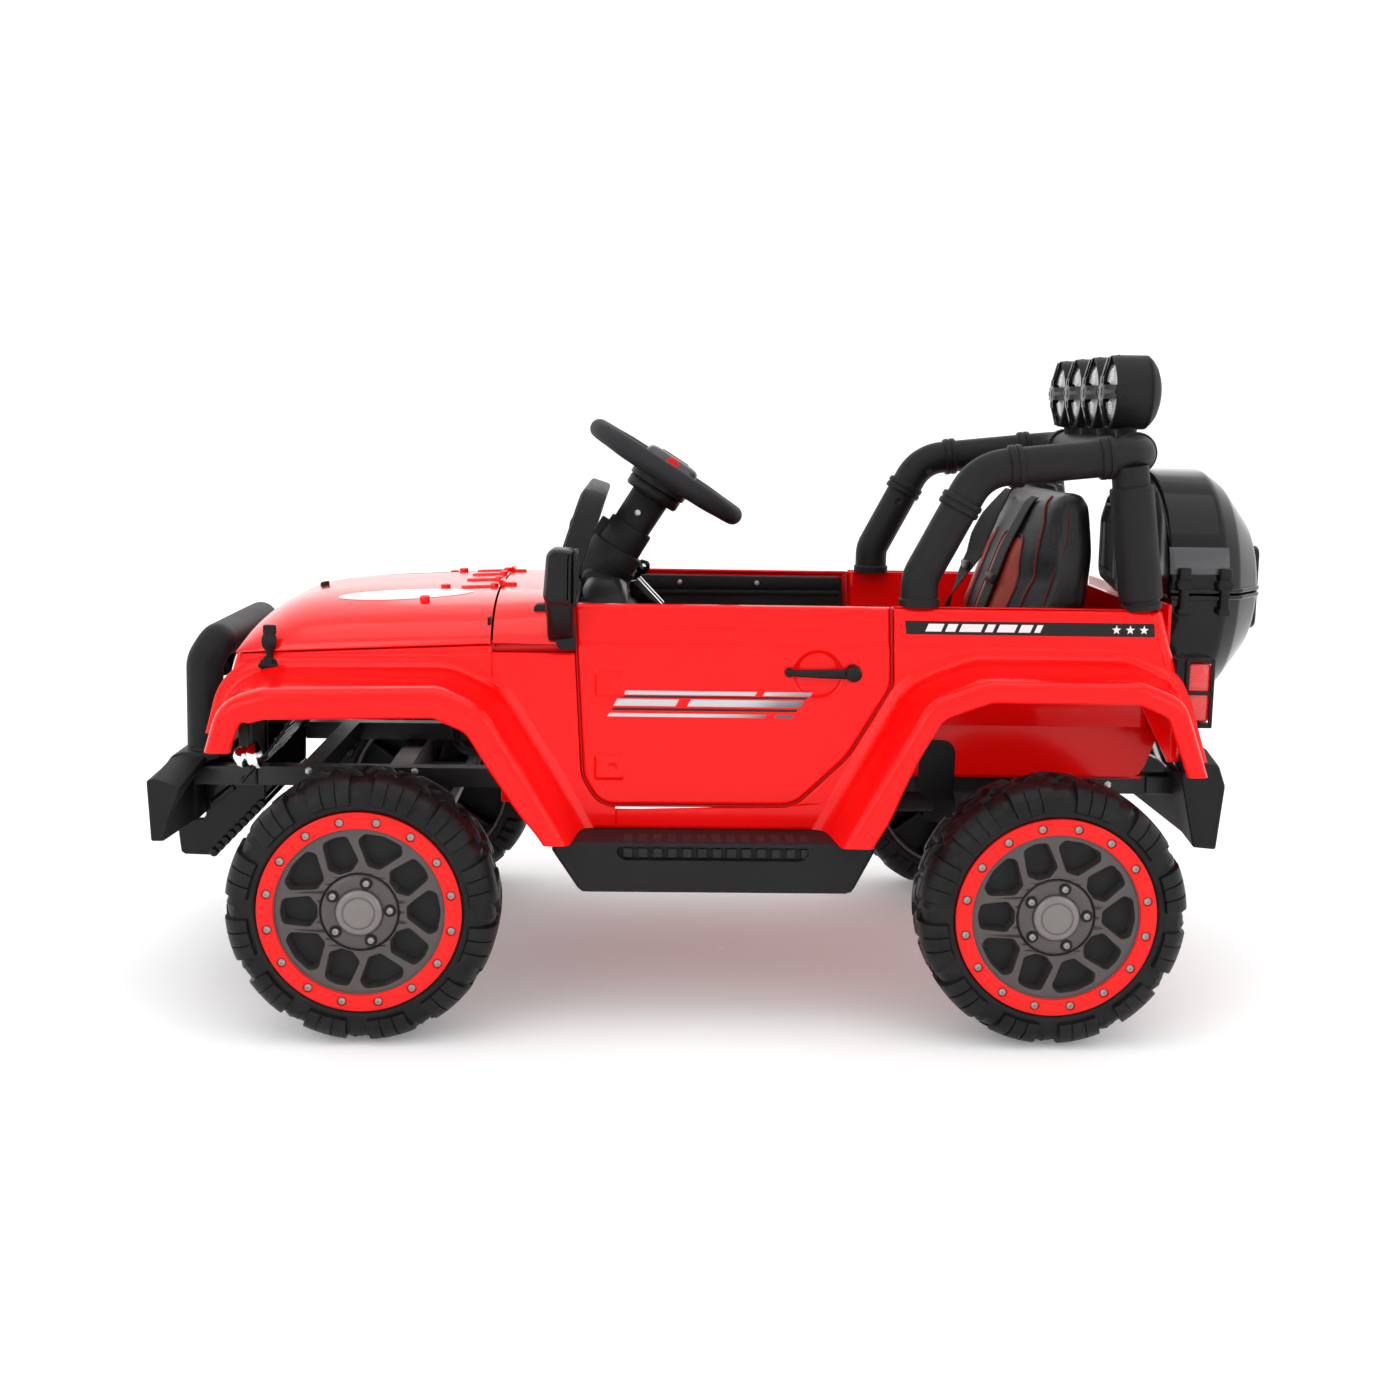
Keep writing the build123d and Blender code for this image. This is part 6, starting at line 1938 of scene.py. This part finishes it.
@operator("case", "Spare case")
def build_case():
    """Spare-wheel case: glossy bowl and lid, centre boss, side band, hinge and toggle latches."""
    base = case_skin(180.3, 359.7) + case_rim(False)
    lid = case_skin(0.3, 179.7) + case_rim(True)
    boss_line = corners([(-30, -48), (30, -48), (30, 46), (-30, 46)], [12, 12, 12, 12], 96)

    def boss(high):
        """One half of the centre boss, cut along the seam of the lid."""
        rows = []
        for depth, inset in ((-8, -2.5), (6, 0), (11.5, 0.8), (13.6, 2.6), (14.4, 6), (14.5, 20)):
            ring = shrunk(boss_line, inset).copy()
            ring[:, 1] = np.maximum(ring[:, 1], 0.25) if high else np.minimum(ring[:, 1], -0.25)
            rows.append(np.column_stack([ring[:, 0], np.full(96, 574.5 + depth), CASE_Z + ring[:, 1]]))
        return solid(rows)

    make("case_bowl", base + boss(False), "gloss_black", "spare_case_base")
    make("case_cover", lid + boss(True), "gloss_black", "spare_case_lid", body="spare_lid")
    fold = np.linspace(460.5, 524, 20)
    band_shape = []
    for z, out in ((448, 0.4), (450, 1.4), (457, 2.0), (462, 1.6), (468, 1.6), (474, 1.0), (476, 0.2)):
        x = np.sqrt(np.maximum(128 ** 2 - (z - CASE_Z) ** 2, 0))
        edge = np.where(fold < 463, 0.3, np.where(fold > 521, 0.3, 1.0))
        band_shape.append(np.column_stack([x + out * edge, fold, np.full(20, z)]))
    strip = grid(band_shape)
    # The band takes a grey metal finish on the black case: painted sheen where the band catches the light.
    for name, flip in (("left", 1), ("right", -1)):
        make("case_band_painted_sheen_" + name, strip.on_side(flip), "grey_panel_and_painted_sheen", "spare_case_lid", body="spare_lid")
    hinge_low = revolved([(474.2, 0.01), (474.2, 3.3), (485.8, 3.3), (485.8, 0.01)], (-132, 0, CASE_Z), Y,
        24)
    hinge_high = revolved([(486.7, 0.01), (486.7, 3.3), (499.8, 3.3), (499.8, 0.01)], (-132, 0, CASE_Z), Y,
        24)
    make("case_hinge_low", hinge_low + block((-131, -126), (474.5, 485.5), (CASE_Z - 12, CASE_Z - 1), 0.8),
        "black_smooth", "spare_case_base")
    make("case_hinge_high", hinge_high + block((-131, -126), (487, 499.5), (CASE_Z + 1, CASE_Z + 12), 0.8),
        "black_smooth", "spare_case_lid", body="spare_lid")
    shapes = []
    for y in (475, 518):
        shapes.append(block((126, 136), (y - 8, y + 8), (432, 443), 2))
        shapes.append(block((126.5, 134.6), (y - 6.4, y + 6.4), (441, 455), 2))
        shapes.append(block((129, 135.4), (y - 4.6, y + 4.6), (408, 436), 1.6))
        shapes.append(block((129.4, 135.8), (y - 6.8, y + 6.8), (404.6, 413), 2))
        shapes.append(tube([(133, y - 8.6, 437.5), (133, y + 8.6, 437.5)], 2.4, 14))
    make("case_toggles", joined(shapes), "black_smooth", "case_latches", body="spare_lid")
    mount = slab(corners([(444, 376), (459.7, 376), (459.7, 320), (457.6, 320), (457.6, 330)], 1.5, 60), [],
        -69, 69, 1)
    make("case_mount", mount, "black_smooth", "spare_case_base")


# Underside and inner parts that keep their solid's own form

KEPT = {"chassis": "steel_black", "front_beam": "steel_black", "rear_axle": "steel_black",
    "tie_rod": "steel_black", "knuckle_left": "steel_black", "knuckle_right": "steel_black",
    "front_gearbox_left": "black_smooth", "front_gearbox_right": "black_smooth",
    "rear_gearboxes": "black_smooth", "battery": "black_smooth"}


@operator("under", "Underside")
def build_under():
    """Finishes for the frame, axles, knuckles, gearboxes and battery, with bolts, plates and wires."""
    for node, finish in KEPT.items():
        redress(node, finish)
    bolts = []
    for y in (-440, -380, -330):
        for z in (220, 232):
            bolts.append(revolved([(0, 4.2), (2.2, 4.0), (2.6, 2.8), (2.7, 0.01)], (147, y, z), X, 6))
    for y in (-150, 130, 400):
        bolts.append(revolved([(0, 4.2), (2.2, 4.0), (2.7, 0.01)], (147, y, 226), X, 6))
    make("frame_bolts", both_sides(joined(bolts)), "steel")
    wires = []
    for k, (dy, dz) in enumerate(((0, 0), (3.5, 2), (-3, 3), (1, 6))):
        path = rounded([(40 + 6 * k, -300 + dy, 330), (90, -296 + dy, 318.2 + k),
            (128, -288 + dy, 250 + dz), (132, -230 + dy, 240 + dz), (130, -150, 240 + dz)],
            [0, 10, 16, 14, 0], steps=6)
        wires.append(tube(resampled(path, 60), 1.5, 8))
    make("loom", joined(wires), "ink")


@operator("battery", "Battery")
def build_battery():
    """Lid and terminals of the battery."""
    top = block((-72, 72), (-342, -283), (391.6, 394.6), 1.5)
    posts = joined([revolved([(394, 5), (399, 5), (399.6, 4), (399.6, 0.01)], (x, -300, 0), Z, 20)
        for x in (-52, 52)])
    make("battery_lid", top, "black")
    make("battery_posts", posts, "steel")


# Add-on: the panel, and the run

class VIEW3D_PT_ride_on(bpy.types.Panel):
    """Settings and building steps of the ride-on toy."""

    bl_idname = "VIEW3D_PT_ride_on"
    bl_label = "Ride-on 4x4"
    bl_space_type = "VIEW_3D"
    bl_region_type = "UI"
    bl_category = "Ride-on"

    def draw(self, context):
        """Lists the sizes, the colours and one button for each group."""
        for settings in (context.scene.toy_sizes, context.scene.toy_colours):
            for name in type(settings).__annotations__:
                self.layout.prop(settings, name)
        for kind in OPERATORS:
            self.layout.operator(kind.bl_idname)


CLASSES = [ToySizes, ToyColours, *OPERATORS, VIEW3D_PT_ride_on]


def register():
    """Adds the classes and the scene's settings."""
    for kind in CLASSES:
        bpy.utils.register_class(kind)
    bpy.types.Scene.toy_sizes = bpy.props.PointerProperty(type=ToySizes)
    bpy.types.Scene.toy_colours = bpy.props.PointerProperty(type=ToyColours)


def unregister():
    """Takes the settings and the classes away again."""
    del bpy.types.Scene.toy_sizes
    del bpy.types.Scene.toy_colours
    for kind in reversed(CLASSES):
        bpy.utils.unregister_class(kind)


def main():
    """Registers the add-on, runs its operators in order and writes the two boxes."""
    register()
    for kind in OPERATORS:
        getattr(bpy.ops.toy, kind.bl_idname.split(".")[1])()


if __name__ == "__main__":
    main()
